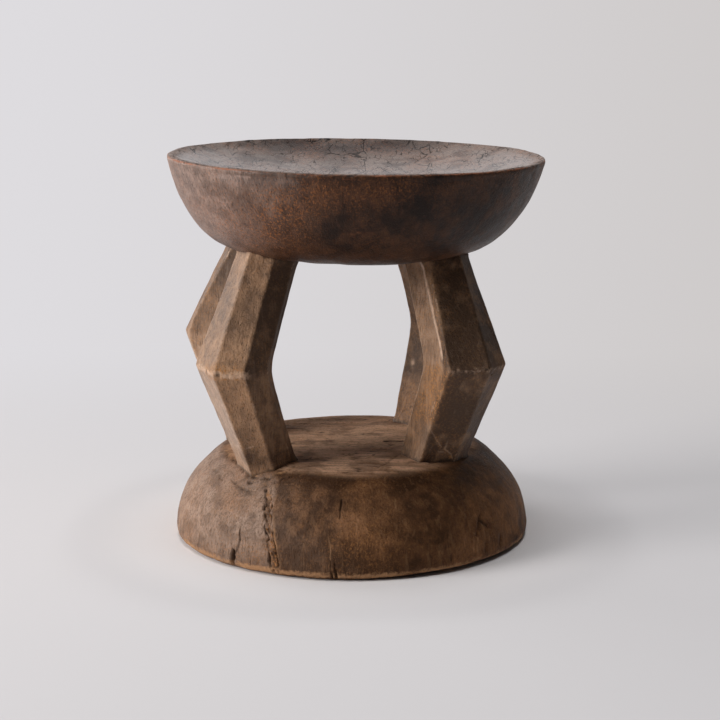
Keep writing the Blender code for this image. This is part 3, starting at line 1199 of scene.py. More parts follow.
class Effects:
    """The node groups that the finishes share, each built once."""

    def __init__(self) -> None:
        """Build every group."""
        self.cloud = self.make_cloud()
        self.fibre = self.make_fibre()
        self.checks = self.make_checks()
        self.worn = self.make_worn()

    def make_cloud(self) -> bpy.types.NodeTree:
        """Blotches: layered noise, eased to more or less contrast.

        Returns:
            The group.
        """
        tree, g, at, leave = effect(
            "cloud", {"Vector": None, "Scale": 20.0, "Low": 0.35, "High": 0.65}, ("Cloud",)
        )
        value = g.noise(
            at["Vector"], at["Scale"], detail=4.0, roughness=0.55, distortion=0.4
        )
        g.fill(leave.inputs["Cloud"], g.span(value, at["Low"], at["High"]))
        return tree

    def make_fibre(self) -> bpy.types.NodeTree:
        """Wood fibre: noise drawn out along the grain, and short dark pores.

        Returns:
            The group.
        """
        tree, g, at, leave = effect(
            "fibre", {"Vector": None, "Scale": 500.0, "Pores": 0.62}, ("Fibre", "Pore")
        )
        value = g.noise(at["Vector"], at["Scale"], detail=3.0, roughness=0.6, distortion=0.3)
        g.fill(leave.inputs["Fibre"], g.span(value, 0.36, 0.64))
        pore = g.noise(at["Vector"], g.times(at["Scale"], 1.7), detail=2.0)
        over = g.math("SUBTRACT", pore, at["Pores"])
        g.fill(leave.inputs["Pore"], g.span(over, 0.0, 0.07))
        return tree

    def make_checks(self) -> bpy.types.NodeTree:
        """Fine drying checks: borders of bent cells, shown only in patches.

        Returns:
            The group.
        """
        tree, g, at, leave = effect(
            "checks", {"Vector": None, "Scale": 90.0, "Width": 0.05, "Presence": 0.5}, ("Line",)
        )
        bent = g.add("ShaderNodeTexNoise", Vector=at["Vector"], Scale=at["Scale"], Detail=3.0)
        shift = g.add("ShaderNodeVectorMath", {"operation": "SCALE"}, Scale=0.006)
        g.fill(shift.inputs[0], bent.outputs["Color"])
        moved = g.add("ShaderNodeVectorMath", {"operation": "ADD"})
        g.fill(moved.inputs[0], at["Vector"])
        g.fill(moved.inputs[1], shift.outputs[0])
        cells = g.add(
            "ShaderNodeTexVoronoi", {"feature": "DISTANCE_TO_EDGE"},
            Vector=moved.outputs[0], Scale=at["Scale"],
        )
        line = g.span(g.math("DIVIDE", cells.outputs[0], at["Width"]), 1.0, 0.7)
        patch = g.noise(at["Vector"], g.times(at["Scale"], 0.9), detail=2.0)
        shown = g.span(g.plus(patch, at["Presence"]), 0.92, 1.08)
        g.fill(leave.inputs["Line"], g.times(line, shown))
        return tree

    def make_worn(self) -> bpy.types.NodeTree:
        """Edge wear: a stored mask broken up by noise.

        Returns:
            The group.
        """
        tree, g, at, leave = effect(
            "worn", {"Mask": 0.0, "Vector": None, "Scale": 300.0, "Break": 0.8}, ("Worn",)
        )
        value = g.noise(at["Vector"], at["Scale"], detail=4.0, roughness=0.6)
        away = g.times(g.math("SUBTRACT", value, 0.5), at["Break"])
        raised = g.span(g.plus(at["Mask"], g.times(away, 1.6)), 0.25, 0.85)
        g.fill(leave.inputs["Worn"], g.times(raised, g.span(at["Mask"], 0.02, 0.3)))
        return tree


@dataclass(frozen=True)
class WoodFinish:
    """Colours, grain and gloss of one kind of piece.

    Fleck, speckle, blotch and polish are strengths from 0 to 1, for orange flecks, dark
    and pale specks, dark blotches, and the coat where a piece shines.
    """

    name: str
    deep: Colour
    body: Colour
    warm: Colour
    pale: Colour
    dust_and_sheen_colour: Colour
    fleck: float
    roughness: float
    speckle: float
    grey: Colour = (0.150, 0.085, 0.052)
    top_roughness: float = 0.44
    top_stretch: Place = (1.0, 1.0, 1.0)
    check_width: float = 0.03
    presence: float = 0.25
    check_stretch: Place = (1.0, 0.32, 1.0)
    specular: float = 0.25
    polish: float = 0.0
    blotch: float = 0.40
    fibre_stretch: Place = (1.0, 1.0, 0.06)
    coat_roughness: float = 0.22
    relief_depth: float = 0.00034

    def material(self, effects: Effects) -> bpy.types.Material:
        """Build the finish as a Principled material.

        Args:
            effects: The shared node groups.

        Returns:
            The material.
        """
        material = bpy.data.materials.new(self.name)
        material.use_nodes = True
        shader = material.node_tree.nodes["Principled BSDF"]
        shader.inputs["Specular IOR Level"].default_value = self.specular
        shader.inputs["Coat Roughness"].default_value = self.coat_roughness
        g = Graph(material.node_tree)
        at = self.patterns(g, effects)
        g.fill(shader.inputs["Base Color"], self.colour(g, at))
        g.fill(shader.inputs["Roughness"], self.gloss(g, at))
        g.fill(shader.inputs["Coat Weight"], g.times(g.mask("shine"), self.polish))
        g.fill(shader.inputs["Normal"], self.relief(g, at))
        return material

    def patterns(self, g: Graph, effects: Effects) -> dict[str, bpy.types.NodeSocket]:
        """Place the shared effects at this finish's scales.

        Args:
            g: The material's graph.
            effects: The shared node groups.

        Returns:
            Each pattern's output by name.
        """
        point = g.add("ShaderNodeTexCoord").outputs["Object"]
        along = g.stretch(point, self.fibre_stretch)
        across = g.stretch(point, self.top_stretch)
        rays = g.stretch(point, self.check_stretch)
        clouds = {
            "big": (point, 22.0, 0.36, 0.66), "mid": (point, 85.0, 0.34, 0.68),
            "fine": (point, 560.0, 0.50, 0.62), "drift": (rays, 46.0, 0.40, 0.62),
            "dots": (point, 430.0, 0.52, 0.66), "blots": (point, 40.0, 0.50, 0.64),
            "light": (along, 240.0, 0.54, 0.66),
        }
        at = {
            name: g.use(effects.cloud, Vector=vector, Scale=scale, Low=low, High=high)[0]
            for name, (vector, scale, low, high) in clouds.items()
        }
        at["top"] = g.mask("end_cut")
        side = g.use(effects.fibre, Vector=along, Scale=620.0, Pores=0.60)
        end = g.use(effects.fibre, Vector=across, Scale=520.0, Pores=0.60)
        at["fibre"] = g.choose(at["top"], side[0], end[0])
        at["pore"] = g.choose(at["top"], side[1], end[1])
        wide, hair = (
            g.use(effects.checks, Vector=rays, Scale=scale, Width=self.check_width * wider,
                  Presence=self.presence + more)[0]
            for scale, wider, more in ((80.0, 1.0, 0.0), (190.0, 1.5, 0.03))
        )
        lines = g.times(g.larger(wide, g.times(hair, 0.85)), at["top"])
        at["lines"] = lines
        at["open"] = g.larger(g.clamp(g.mask("crack")), lines)
        at["worn"] = g.use(
            effects.worn, Mask=g.mask("wear_and_highlight"), Vector=point, Scale=330.0, Break=0.8
        )[0]
        at["grime"] = g.use(
            effects.worn, Mask=g.mask("grime"), Vector=point, Scale=200.0, Break=0.6
        )[0]
        return at

    def colour(self, g: Graph, at: dict[str, bpy.types.NodeSocket]) -> bpy.types.NodeSocket:
        """Build up the colour from the patina to the cracks.

        Dark patina and body colour mix by blotches and the stored tone. Bare end
        grain, the dusty paint of the painted sheen, orange flecks, fibre, worn edges and
        scratches with their painted highlights, dirt and cracks go over them in that order.

        Args:
            g: The material's graph.
            at: The patterns by name.

        Returns:
            The base colour.
        """
        tone = g.mask("tone")
        shade = g.plus(g.times(at["big"], 0.55), g.times(at["mid"], 0.45))
        colour = g.blend(g.clamp(g.plus(shade, tone)), self.deep, self.body)
        bare = g.plus(g.plus(g.times(at["drift"], 0.22), 0.50), g.times(tone, 0.60))
        colour = g.blend(g.clamp(g.times(at["top"], bare)), colour, self.grey)
        colour = g.over(colour, self.deep, at["blots"], self.blotch)
        # Painted sheen towards the key lamp and painted highlights, in the dusty colour.
        dust_and_sheen = g.times(g.mask("dust_and_sheen"), g.plus(g.times(at["mid"], 0.45), 0.50))
        colour = g.blend(g.clamp(dust_and_sheen), colour, self.dust_and_sheen_colour)
        flecks = g.times(at["fine"], g.plus(g.times(at["big"], 0.8), 0.1))
        warmth = g.times(g.mask("warmth"), g.plus(g.times(at["fine"], 0.9), 0.25))
        orange = g.clamp(g.plus(g.times(flecks, self.fleck), warmth))
        colour = g.blend(orange, colour, self.warm)
        soot = tuple(part * 0.35 for part in self.deep)
        coats = (
            (g.blend(0.45, colour, self.deep), at["fibre"], 0.55),
            (self.deep, at["pore"], 0.55),
            (self.deep, at["dots"], self.speckle),
            (self.pale, at["light"], self.speckle * 0.5),
            # Worn edges and scratches, also painted highlights on the front right leg.
            (self.pale, at["worn"], 0.85),
            (self.pale, g.clamp(g.mask("scratch_and_highlight")), 0.8),
            (soot, at["grime"], 0.8),
            (soot, at["open"], 0.9),
        )
        for paint, share, strength in coats:
            colour = g.over(colour, paint, share, strength)
        return colour

    def gloss(self, g: Graph, at: dict[str, bpy.types.NodeSocket]) -> bpy.types.NodeSocket:
        """Roughness: smooth patina, rougher where it is worn, matt in the cracks.

        Args:
            g: The material's graph.
            at: The patterns by name.

        Returns:
            The roughness.
        """
        rough = g.choose(at["top"], self.roughness, self.top_roughness)
        for name, share in (("mid", 0.10), ("fibre", 0.05), ("worn", 0.12)):
            rough = g.plus(rough, g.times(at[name], share))
        return g.larger(g.clamp(rough), g.times(at["open"], 0.9))

    def relief(self, g: Graph, at: dict[str, bpy.types.NodeSocket]) -> bpy.types.NodeSocket:
        """Fine relief: fibre, pores and checks sink, and flecks and blotches rise.

        Args:
            g: The material's graph.
            at: The patterns by name.

        Returns:
            The bumped normal.
        """
        heights = {
            "fibre": -0.35, "pore": -0.6, "lines": -1.4, "fine": 0.3, "mid": 0.4, "dots": -0.5,
        }
        height = 0.0
        for name, share in heights.items():
            height = g.plus(height, g.times(at[name], share))
        bump = g.add("ShaderNodeBump", Strength=1.0, Distance=self.relief_depth, Height=height)
        return bump.outputs[0]


# Marks of the pieces, in millimetres


CRACK, SCRATCH_AND_HIGHLIGHT, WEAR_AND_HIGHLIGHT = MarkKind.CRACK, MarkKind.SCRATCH_AND_HIGHLIGHT, MarkKind.WEAR_AND_HIGHLIGHT
GRIME, SHINE, RUST, DUST_AND_SHEEN = MarkKind.GRIME, MarkKind.SHINE, MarkKind.RUST, MarkKind.DUST_AND_SHEEN


def crease(path: tuple[Place, ...], strength: float) -> tuple[Mark, Mark]:
    """A dark furrow with a pale lip on its upper side.

    Args:
        path: Places along the furrow.
        strength: How strongly both show, from 0 to 1.

    Returns:
        The furrow and its lip.
    """
    lip = tuple((x * 0.975, y * 0.975, z + 0.6) for x, y, z in path)
    return (
        Mark(CRACK, 1.2, 1.3, path, strength, 1.8, ragged=0.6, pitted=0.2),
        Mark(WEAR_AND_HIGHLIGHT, 1.9, 0.0, lip, strength, 1.8, ragged=0.6, pitted=0.4),
    )


SEAT_MARKS = (
    Mark(CRACK, 0.8, 0.8, ((53.1, 81.2, 304.7), (59.7, 95.9, 307.2), (63.4, 102.1, 308.7),
        (71.8, 115, 312.4))),
    Mark(CRACK, 0.7, 0.5, ((-69.6, 63.1, 306.5), (-61.2, 47.2, 304.2), (-53.2, 38.2, 303))),
    Mark(SCRATCH_AND_HIGHLIGHT, 0.5, 0.1, ((-8.2, -135.5, 270.8), (7, -137.5, 273), (26, -136.7, 274.4)), 0.6),
    Mark(SCRATCH_AND_HIGHLIGHT, 0.5, 0.1, ((-5.7, -155.5, 316.1), (4.8, -155.9, 316.5)), 0.5),
    Mark(SHINE, 4.5, 0, ((-108, -110, 312), (-78, -133, 312.5), (-40, -149, 313)), 0.9, 0.8),
    Mark(GRIME, 2.5, 0.3, ((147.2, -61.7, 316.6), (143.7, -63.4, 307.2), (138.9, -65.6, 297.9)),
        0.8),
    Mark(CRACK, 0.7, 0.3, ((-81.7, -130.5, 319), (-82.1, -127, 308)), 0.6),
    Mark(CRACK, 0.7, 0.3, ((34.6, -152.7, 315.4), (35.5, -149.6, 306)), 0.6),
    # Painted highlight: two pale streaks along the left front under the rim.
    Mark(DUST_AND_SHEEN, 2.4, 0, ((-109, -109, 313.5), (-95, -121.5, 314.6), (-76.2, -133.6, 315.2)), 1.5,
        0.8),
    Mark(DUST_AND_SHEEN, 1.2, 0, ((-66, -138.7, 316), (-54, -143, 316)), 0.7, 0.8),
)
SEAT_TINTS = (
    Tint((-105, -105, 275), (40, 40, 30), 0.1, 0.3),
    Tint((-62, -135, 262), (30, 40, 22), 0.1, 0.4),
    Tint((-62, -138, 298), (30, 40, 20), -0.1, 0.25),
    Tint((14, -155, 306), (48, 40, 12), 0.25, 0.3),
    # Painted shade: the two dark tints on the back slope of the dish, which faces the camera and
    # shows little sheen.
    Tint((10, 136, 314), (120, 20, 20), -0.75, 0),
    Tint((-75, 122, 312), (50, 26, 20), -0.45, 0),
    Tint((45, -140, 285), (26, 40, 18), -0.35, -0.2),
    Tint((-10, -148, 284), (16, 40, 16), -0.2, -0.1),
    Tint((95, -110, 285), (38, 50, 34), -0.35, -0.2),
    Tint((-70, 95, 306), (60, 40, 22), -0.2, 0),
    Tint((5, 110, 307), (40, 30, 22), -0.2, 0),
)
BASE_MARKS = (
    Mark(CRACK, 0.9, 2.6, ((-68.6, -102.5, 61.5), (-68.4, -114.8, 50.8), (-68.3, -124.4, 37.9),
        (-66.6, -129.7, 27.7), (-65.4, -133.2, 16.9), (-62.8, -135.8, 8), (-58.5, -136.8, 0.5)),
        wobble=1.6, taper=False, ragged=0.7),
    Mark(CRACK, 0.8, 2.2, ((-64.4, -105, 62.3), (-63.6, -117.5, 51.5), (-63.8, -127.2, 38.8),
        (-62.1, -131.1, 32.1), (-61.1, -134, 25.1), (-60, -136.2, 17.9), (-58.4, -137.6, 9),
        (-57, -137.6, 1)), strength=0.75, wobble=1.8, taper=False, ragged=0.7, pitted=0.3),
    Mark(GRIME, 3, 1.3, ((-66.7, -104, 61), (-65.8, -116.2, 51.2), (-65.8, -125.8, 38.4),
        (-64.2, -130.5, 29.9), (-63.2, -132.6, 24.8), (-62, -134.7, 17.3), (-60.5, -136.5, 10.4)
        ), strength=0.75, wobble=1, pitted=0.35),
    Mark(RUST, 3.2, 0, ((-66.7, -104, 61), (-65.8, -116.2, 51.2), (-65.8, -125.8, 38.4),
        (-64.2, -130.5, 29.9), (-62, -134.7, 17.3), (-58.5, -136.8, 0.5)), strength=1.2,
        wobble=1, pitted=0.4),
    Mark(WEAR_AND_HIGHLIGHT, 1, 0, ((-66.6, -109, 56.9), (-66, -121, 45.3), (-65.2, -128.4, 34.1),
        (-63.3, -132.5, 24.5), (-61.8, -135, 13), (-58.2, -137, 2.5)), strength=0.55, wobble=1.6,
        taper=False, ragged=0.9, pitted=0.7),
    *crease(((-93.1, -63, 70.6), (-85.7, -77.3, 68.6), (-78.7, -87.4, 67.1),
        (-71.1, -92.6, 67.7), (-63.8, -94, 69.8), (-54.2, -91.3, 73.2), (-44.8, -83.9, 75.4)), 1),
    *crease(((-110.1, -8.6, 71.9), (-103.2, -34.3, 72.5), (-95.1, -57, 71.6), (-88.4, -73, 69.1)
        ), 0.8),
    *crease(((-85.3, -84.7, 64.7), (-80.1, -91.7, 63.3), (-76.6, -97, 61.5)), 0.9),
    *crease(((-99, -74.7, 61.1), (-88.3, -90.5, 58.8), (-79.7, -99.3, 57.9)), 0.7),
    *crease(((-76.5, -97.9, 60.9), (-67.6, -99.5, 64.6), (-57.1, -99.8, 68.9),
        (-49.1, -98.9, 71.9)), 0.8),
    *crease(((-116.4, -38.5, 62.4), (-110, -52, 61.6), (-106.2, -65.6, 60.3)), 0.5),
    *crease(((60.5, -84, 73), (72, -80, 72.4), (84, -71, 72)), 0.8),
    Mark(WEAR_AND_HIGHLIGHT, 3.4, 0, ((-66.9, -103, 63), (-66.4, -108.5, 58.5), (-66.2, -113, 54)),
        strength=0.7, wobble=1, pitted=0.6),
    Mark(CRACK, 1.6, 5, ((-94.6, -114.5, 16), (-94.9, -115.6, 10.3), (-95.5, -113.5, -3)), 1, 0.4
        ),
    Mark(CRACK, 0.7, 1.2, ((-93.2, -116.5, 13.1), (-91.8, -117.2, 15), (-89.8, -117.7, 20),
        (-88.6, -117.4, 24.6), (-89.3, -115.7, 27.4), (-88.8, -114, 32.3))),
    Mark(CRACK, 1, 4, ((-15.3, -148.2, 14.4), (-15, -148.5, 4.5), (-14.8, -147.5, -3))),
    Mark(CRACK, 1.1, 4, ((-12.4, -148.4, 14.5), (-11.6, -148.8, 4.6), (-12.4, -147.5, -3))),
    Mark(CRACK, 0.6, 1, ((-7.5, -124.7, 60.2), (-8, -129.7, 55.1), (-8.5, -136.4, 47.3))),
    Mark(CRACK, 0.7, 0.8, ((-119.6, -9.7, 64.9), (-121.4, -12.7, 62.9))),
    Mark(CRACK, 0.7, 0.8, ((-117.5, -20.8, 65.5), (-120.8, -26.3, 61.5))),
    Mark(CRACK, 0.6, 0.6, ((-121.8, -28.7, 60), (-125.1, -29, 56.7))),
    Mark(CRACK, 1.6, 1.6, ((104.2, -95.4, 39.3), (102.4, -101.7, 32.8), (100.9, -107.1, 24.4)),
        0.9),
    Mark(CRACK, 1.8, 1, ((104.5, -98.7, 34.4), (107.9, -96.8, 30.9), (110.4, -95.2, 28.3)), 0.8),
    Mark(SCRATCH_AND_HIGHLIGHT, 0.6, 0.3, ((98.8, -107.8, 27.1), (98.3, -112.4, 12.7)), 0.6),
    Mark(SCRATCH_AND_HIGHLIGHT, 0.6, 0.3, ((102.2, -106, 24), (101.7, -109.6, 10.9)), 0.5),
    Mark(CRACK, 1.2, 1.6, ((108.6, -100.9, 18.3), (108.6, -102.6, 8.7))),
    Mark(CRACK, 1.2, 1.6, ((121.7, -84.2, 19.9), (121.7, -86.7, 9.7))),
    Mark(CRACK, 1.3, 1, ((79.6, -125.9, 14.4), (79.6, -126.5, 9)), 0.8),
    Mark(SCRATCH_AND_HIGHLIGHT, 0.6, 0.1, ((-18.3, -141.3, 37.3), (-16.6, -144.7, 28.8), (-16, -147.6, 17.3)),
        0.7),
    Mark(SCRATCH_AND_HIGHLIGHT, 0.6, 0.1, ((6.1, -135.7, 48.4), (4.1, -140.9, 39.8)), 0.6),
    Mark(SCRATCH_AND_HIGHLIGHT, 0.6, 0.1, ((34.6, -120.6, 59.7), (35.1, -129.6, 50.2)), 0.6),
    Mark(SCRATCH_AND_HIGHLIGHT, 0.6, 0.1, ((33.4, -134.1, 44.5), (36.7, -137.6, 37.5)), 0.5),
    Mark(SCRATCH_AND_HIGHLIGHT, 0.8, 0, ((-61.4, -117.9, 51.7), (-60.8, -127.8, 38.9),
        (-59.5, -134.2, 25.3), (-58.1, -137.6, 12.4)), 0.8),
    Mark(CRACK, 0.7, 0.8, ((20.7, -89, 75.9), (29.8, -71.7, 76.7), (39.7, -45.9, 77.2)), 0.9, 0.1
        ),
    Mark(CRACK, 0.8, 0.8, ((27.5, -28, 77.5), (32.3, -20.2, 77.5), (37.5, -11, 77.5))),
    Mark(SCRATCH_AND_HIGHLIGHT, 0.7, 0, ((-78.8, -94.1, 62.3), (-75.1, -95, 63.9), (-67.8, -99, 64.9)), 0.8),
    Mark(SCRATCH_AND_HIGHLIGHT, 0.6, 0, ((54.3, -76.6, 75.5), (60.2, -78.9, 74.8), (65.5, -83.6, 73.2)),
        0.9, 0.1),
    Mark(SCRATCH_AND_HIGHLIGHT, 0.6, 0, ((58.2, -78, 75.1), (72.2, -71.6, 74.4)), 0.8, 0.1),
)
BASE_TINTS = (
    Tint((-130, -60, 30), (45, 50, 40), 0.3, 0.15),
    Tint((5, -145, 33), (22, 20, 12), 0.05, 0.3),
    Tint((-80, -125, 15), (20, 20, 12), 0.1, 0.25),
    Tint((-75, -90, 66), (16, 10, 6), -0.6, 0),
    Tint((5, -98, 74), (80, 20, 12), -0.7, 0.05),
    Tint((-6, -142, 16), (34, 24, 18), -0.42, 0),
    Tint((10, -62, 77), (60, 16, 10), -0.5, 0),
    # Painted light: the back of the base top, under the seat, is lightened.
    Tint((-25, 45, 77), (65, 50, 10), 0.45, 0.45),
    Tint((-105, -110, 18), (36, 36, 18), -0.5, 0.1),
    Tint((-86, -92, 60), (9, 8, 5), -0.8, 0),
)
FRONT_LEFT_MARKS = (
    Mark(SCRATCH_AND_HIGHLIGHT, 0.7, 0, ((-88.6, -89.3, 90.1), (-83.8, -91.1, 92.7), (-78.5, -91.7, 94.5)), 0.8
        ),
)
FRONT_LEFT_TINTS = (
    Tint((-78, -84, 81), (22, 18, 12), -0.8, -0.1),
)
FRONT_RIGHT_MARKS = (
    Mark(SCRATCH_AND_HIGHLIGHT, 0.5, 0, ((63.3, -81.1, 112.6), (64.7, -80.8, 104.4), (68.9, -76.1, 96.3),
        (73.6, -70.9, 88)), 0.55, 0.1),
    Mark(SCRATCH_AND_HIGHLIGHT, 0.5, 0, ((78.5, -72.8, 95.4), (76.1, -69.3, 86.2), (81.8, -65.1, 80.9),
        (82.9, -62.4, 76)), 0.5, 0.1),
    Mark(SCRATCH_AND_HIGHLIGHT, 0.5, 0, ((70, -70.5, 84.4), (75.5, -68.3, 83.4)), 0.5, 0.1),
    Mark(RUST, 1.6, 0, ((63.3, -81.1, 112.6), (68.9, -76.1, 96.3), (73.6, -70.9, 88)), 0.8, 0.1),
    Mark(RUST, 1.6, 0, ((76.1, -69.3, 86.2), (82.9, -62.4, 76)), 0.8, 0.1),
    Mark(CRACK, 0.5, 0.8, ((73.5, -89.9, 176.4), (73, -90.3, 170.8), (72.7, -91, 162))),
    Mark(CRACK, 0.9, 2, ((112.6, -85.2, 152),)),
    # Painted highlight: a pale line down corner 5 from the top to the knee.
    Mark(SCRATCH_AND_HIGHLIGHT, 1.3, 0, ((54.2, -51.9, 246), (58.3, -61, 228), (62.4, -70, 210),
        (66.4, -78.9, 192), (69.8, -86.5, 176), (71.6, -90.6, 166)), strength=1.25, wobble=0.5,
        ragged=0.4, pitted=0.35),
    Mark(CRACK, 0.7, 1, ((61.7, -73.6, 128.2),)),
)
REAR_LEFT_MARKS = (
    Mark(CRACK, 0.9, 1.5, ((-121.1, 22.9, 201.8), (-121.2, 25.5, 188.9))),
    Mark(CRACK, 0.9, 1.5, ((-125.3, 26.3, 185.2), (-124.4, 28.8, 170.9))),
    Mark(RUST, 2, 0, ((-122.6, 22.9, 206), (-122.8, 25.5, 186.9)), 1, 1),
    Mark(RUST, 2, 0, ((-126.8, 26.3, 190.2), (-125.9, 28.8, 166.9)), 1, 1),
)
REAR_RIGHT_MARKS = (
    Mark(SCRATCH_AND_HIGHLIGHT, 2.3, 0, ((53.1, 76.4, 128.2),), 1.5, 0.3),
)
FRONT_LEFT_PATCHES = (
    FacetPatch(1, 4, 157, 260, tone=-0.45, dust_and_sheen=-0.5),
    FacetPatch(1, 4, 60, 157, tone=-0.15, dust_and_sheen=-0.5),
    FacetPatch(0, 1, 157, 260, tone=0.3, dust_and_sheen=-0.1),
    FacetPatch(0, 1, 60, 157, tone=0.36, warmth=0.18, dust_and_sheen=-0.3),
    FacetPatch(-1, 0, 60, 157, tone=0.1, dust_and_sheen=0.55, shine=0.3),
    FacetPatch(-0.4, 0.9, 151, 163, warmth=0.8, dust_and_sheen=-0.4, soft=0.15),
)
FRONT_RIGHT_PATCHES = (
    FacetPatch(6.1, 7, 158, 260, tone=-0.52, dust_and_sheen=-1),
    FacetPatch(7, 8, 158, 260, tone=-0.34, dust_and_sheen=-1),
    FacetPatch(6.1, 7, 60, 158, tone=-0.58, dust_and_sheen=-1),
    FacetPatch(7, 8, 60, 158, tone=-0.4, dust_and_sheen=-1),
    # Painted highlight: a pale line along corner 5.
    FacetPatch(4.9, 5.02, 166, 250, wear_and_highlight=0.72, dust_and_sheen=0.6, shine=1, soft=0.07),
    FacetPatch(5.02, 6, 158, 252, tone=-0.22, warmth=0.25, dust_and_sheen=-0.5),
    # Painted highlight: a pale line along corner 4.
    FacetPatch(3.96, 4.05, 100, 250, wear_and_highlight=0.8, dust_and_sheen=0.6, soft=0.05),
    FacetPatch(4.2, 4.9, 110, 160, tone=0.1, warmth=0.55, dust_and_sheen=-0.2, soft=0.2),
    FacetPatch(5, 6.1, 112, 156, tone=-0.25, warmth=0.7, dust_and_sheen=-0.5, soft=0.3),
    FacetPatch(4, 4.9, 158, 260, tone=0.1, warmth=0.3, dust_and_sheen=0.1),
    FacetPatch(3, 4, 158, 260, tone=0.3, warmth=0.1),
    FacetPatch(4, 5, 60, 158, tone=0.05, warmth=0.25, dust_and_sheen=-0.2),
)
REAR_LEFT_PATCHES = (
    FacetPatch(0, 8, 168, 260, tone=-0.3, dust_and_sheen=-0.25),
    FacetPatch(-1, 3, 128, 163, tone=0.45, warmth=0.35, dust_and_sheen=0.55),
    FacetPatch(-1, 3, 60, 150, tone=0.5, dust_and_sheen=0.8),
)
REAR_RIGHT_PATCHES = (
    FacetPatch(0, 8, 60, 260, tone=-0.1, warmth=0.15, dust_and_sheen=-0.5),
    FacetPatch(0, 8, 60, 112, tone=0.25, warmth=0.3),
)


# Studio


@dataclass(frozen=True)
class Lamp:
    """A soft rectangular lamp that points at a place."""

    name: str
    place: Place
    aim: Place
    width: float
    height: float
    watts: float
    colour: Colour = (1.0, 1.0, 1.0)

    def switch_on(self) -> None:
        """Add the lamp to the scene."""
        data = bpy.data.lights.new(self.name, "AREA")
        data.shape = "RECTANGLE"
        data.size = self.width
        data.size_y = self.height
        data.energy = self.watts
        data.color = self.colour
        item = put(self.name, data)
        item.location = self.place
        way = Vector(self.aim) - Vector(self.place)
        item.rotation_euler = way.to_track_quat("-Z", "Y").to_euler()


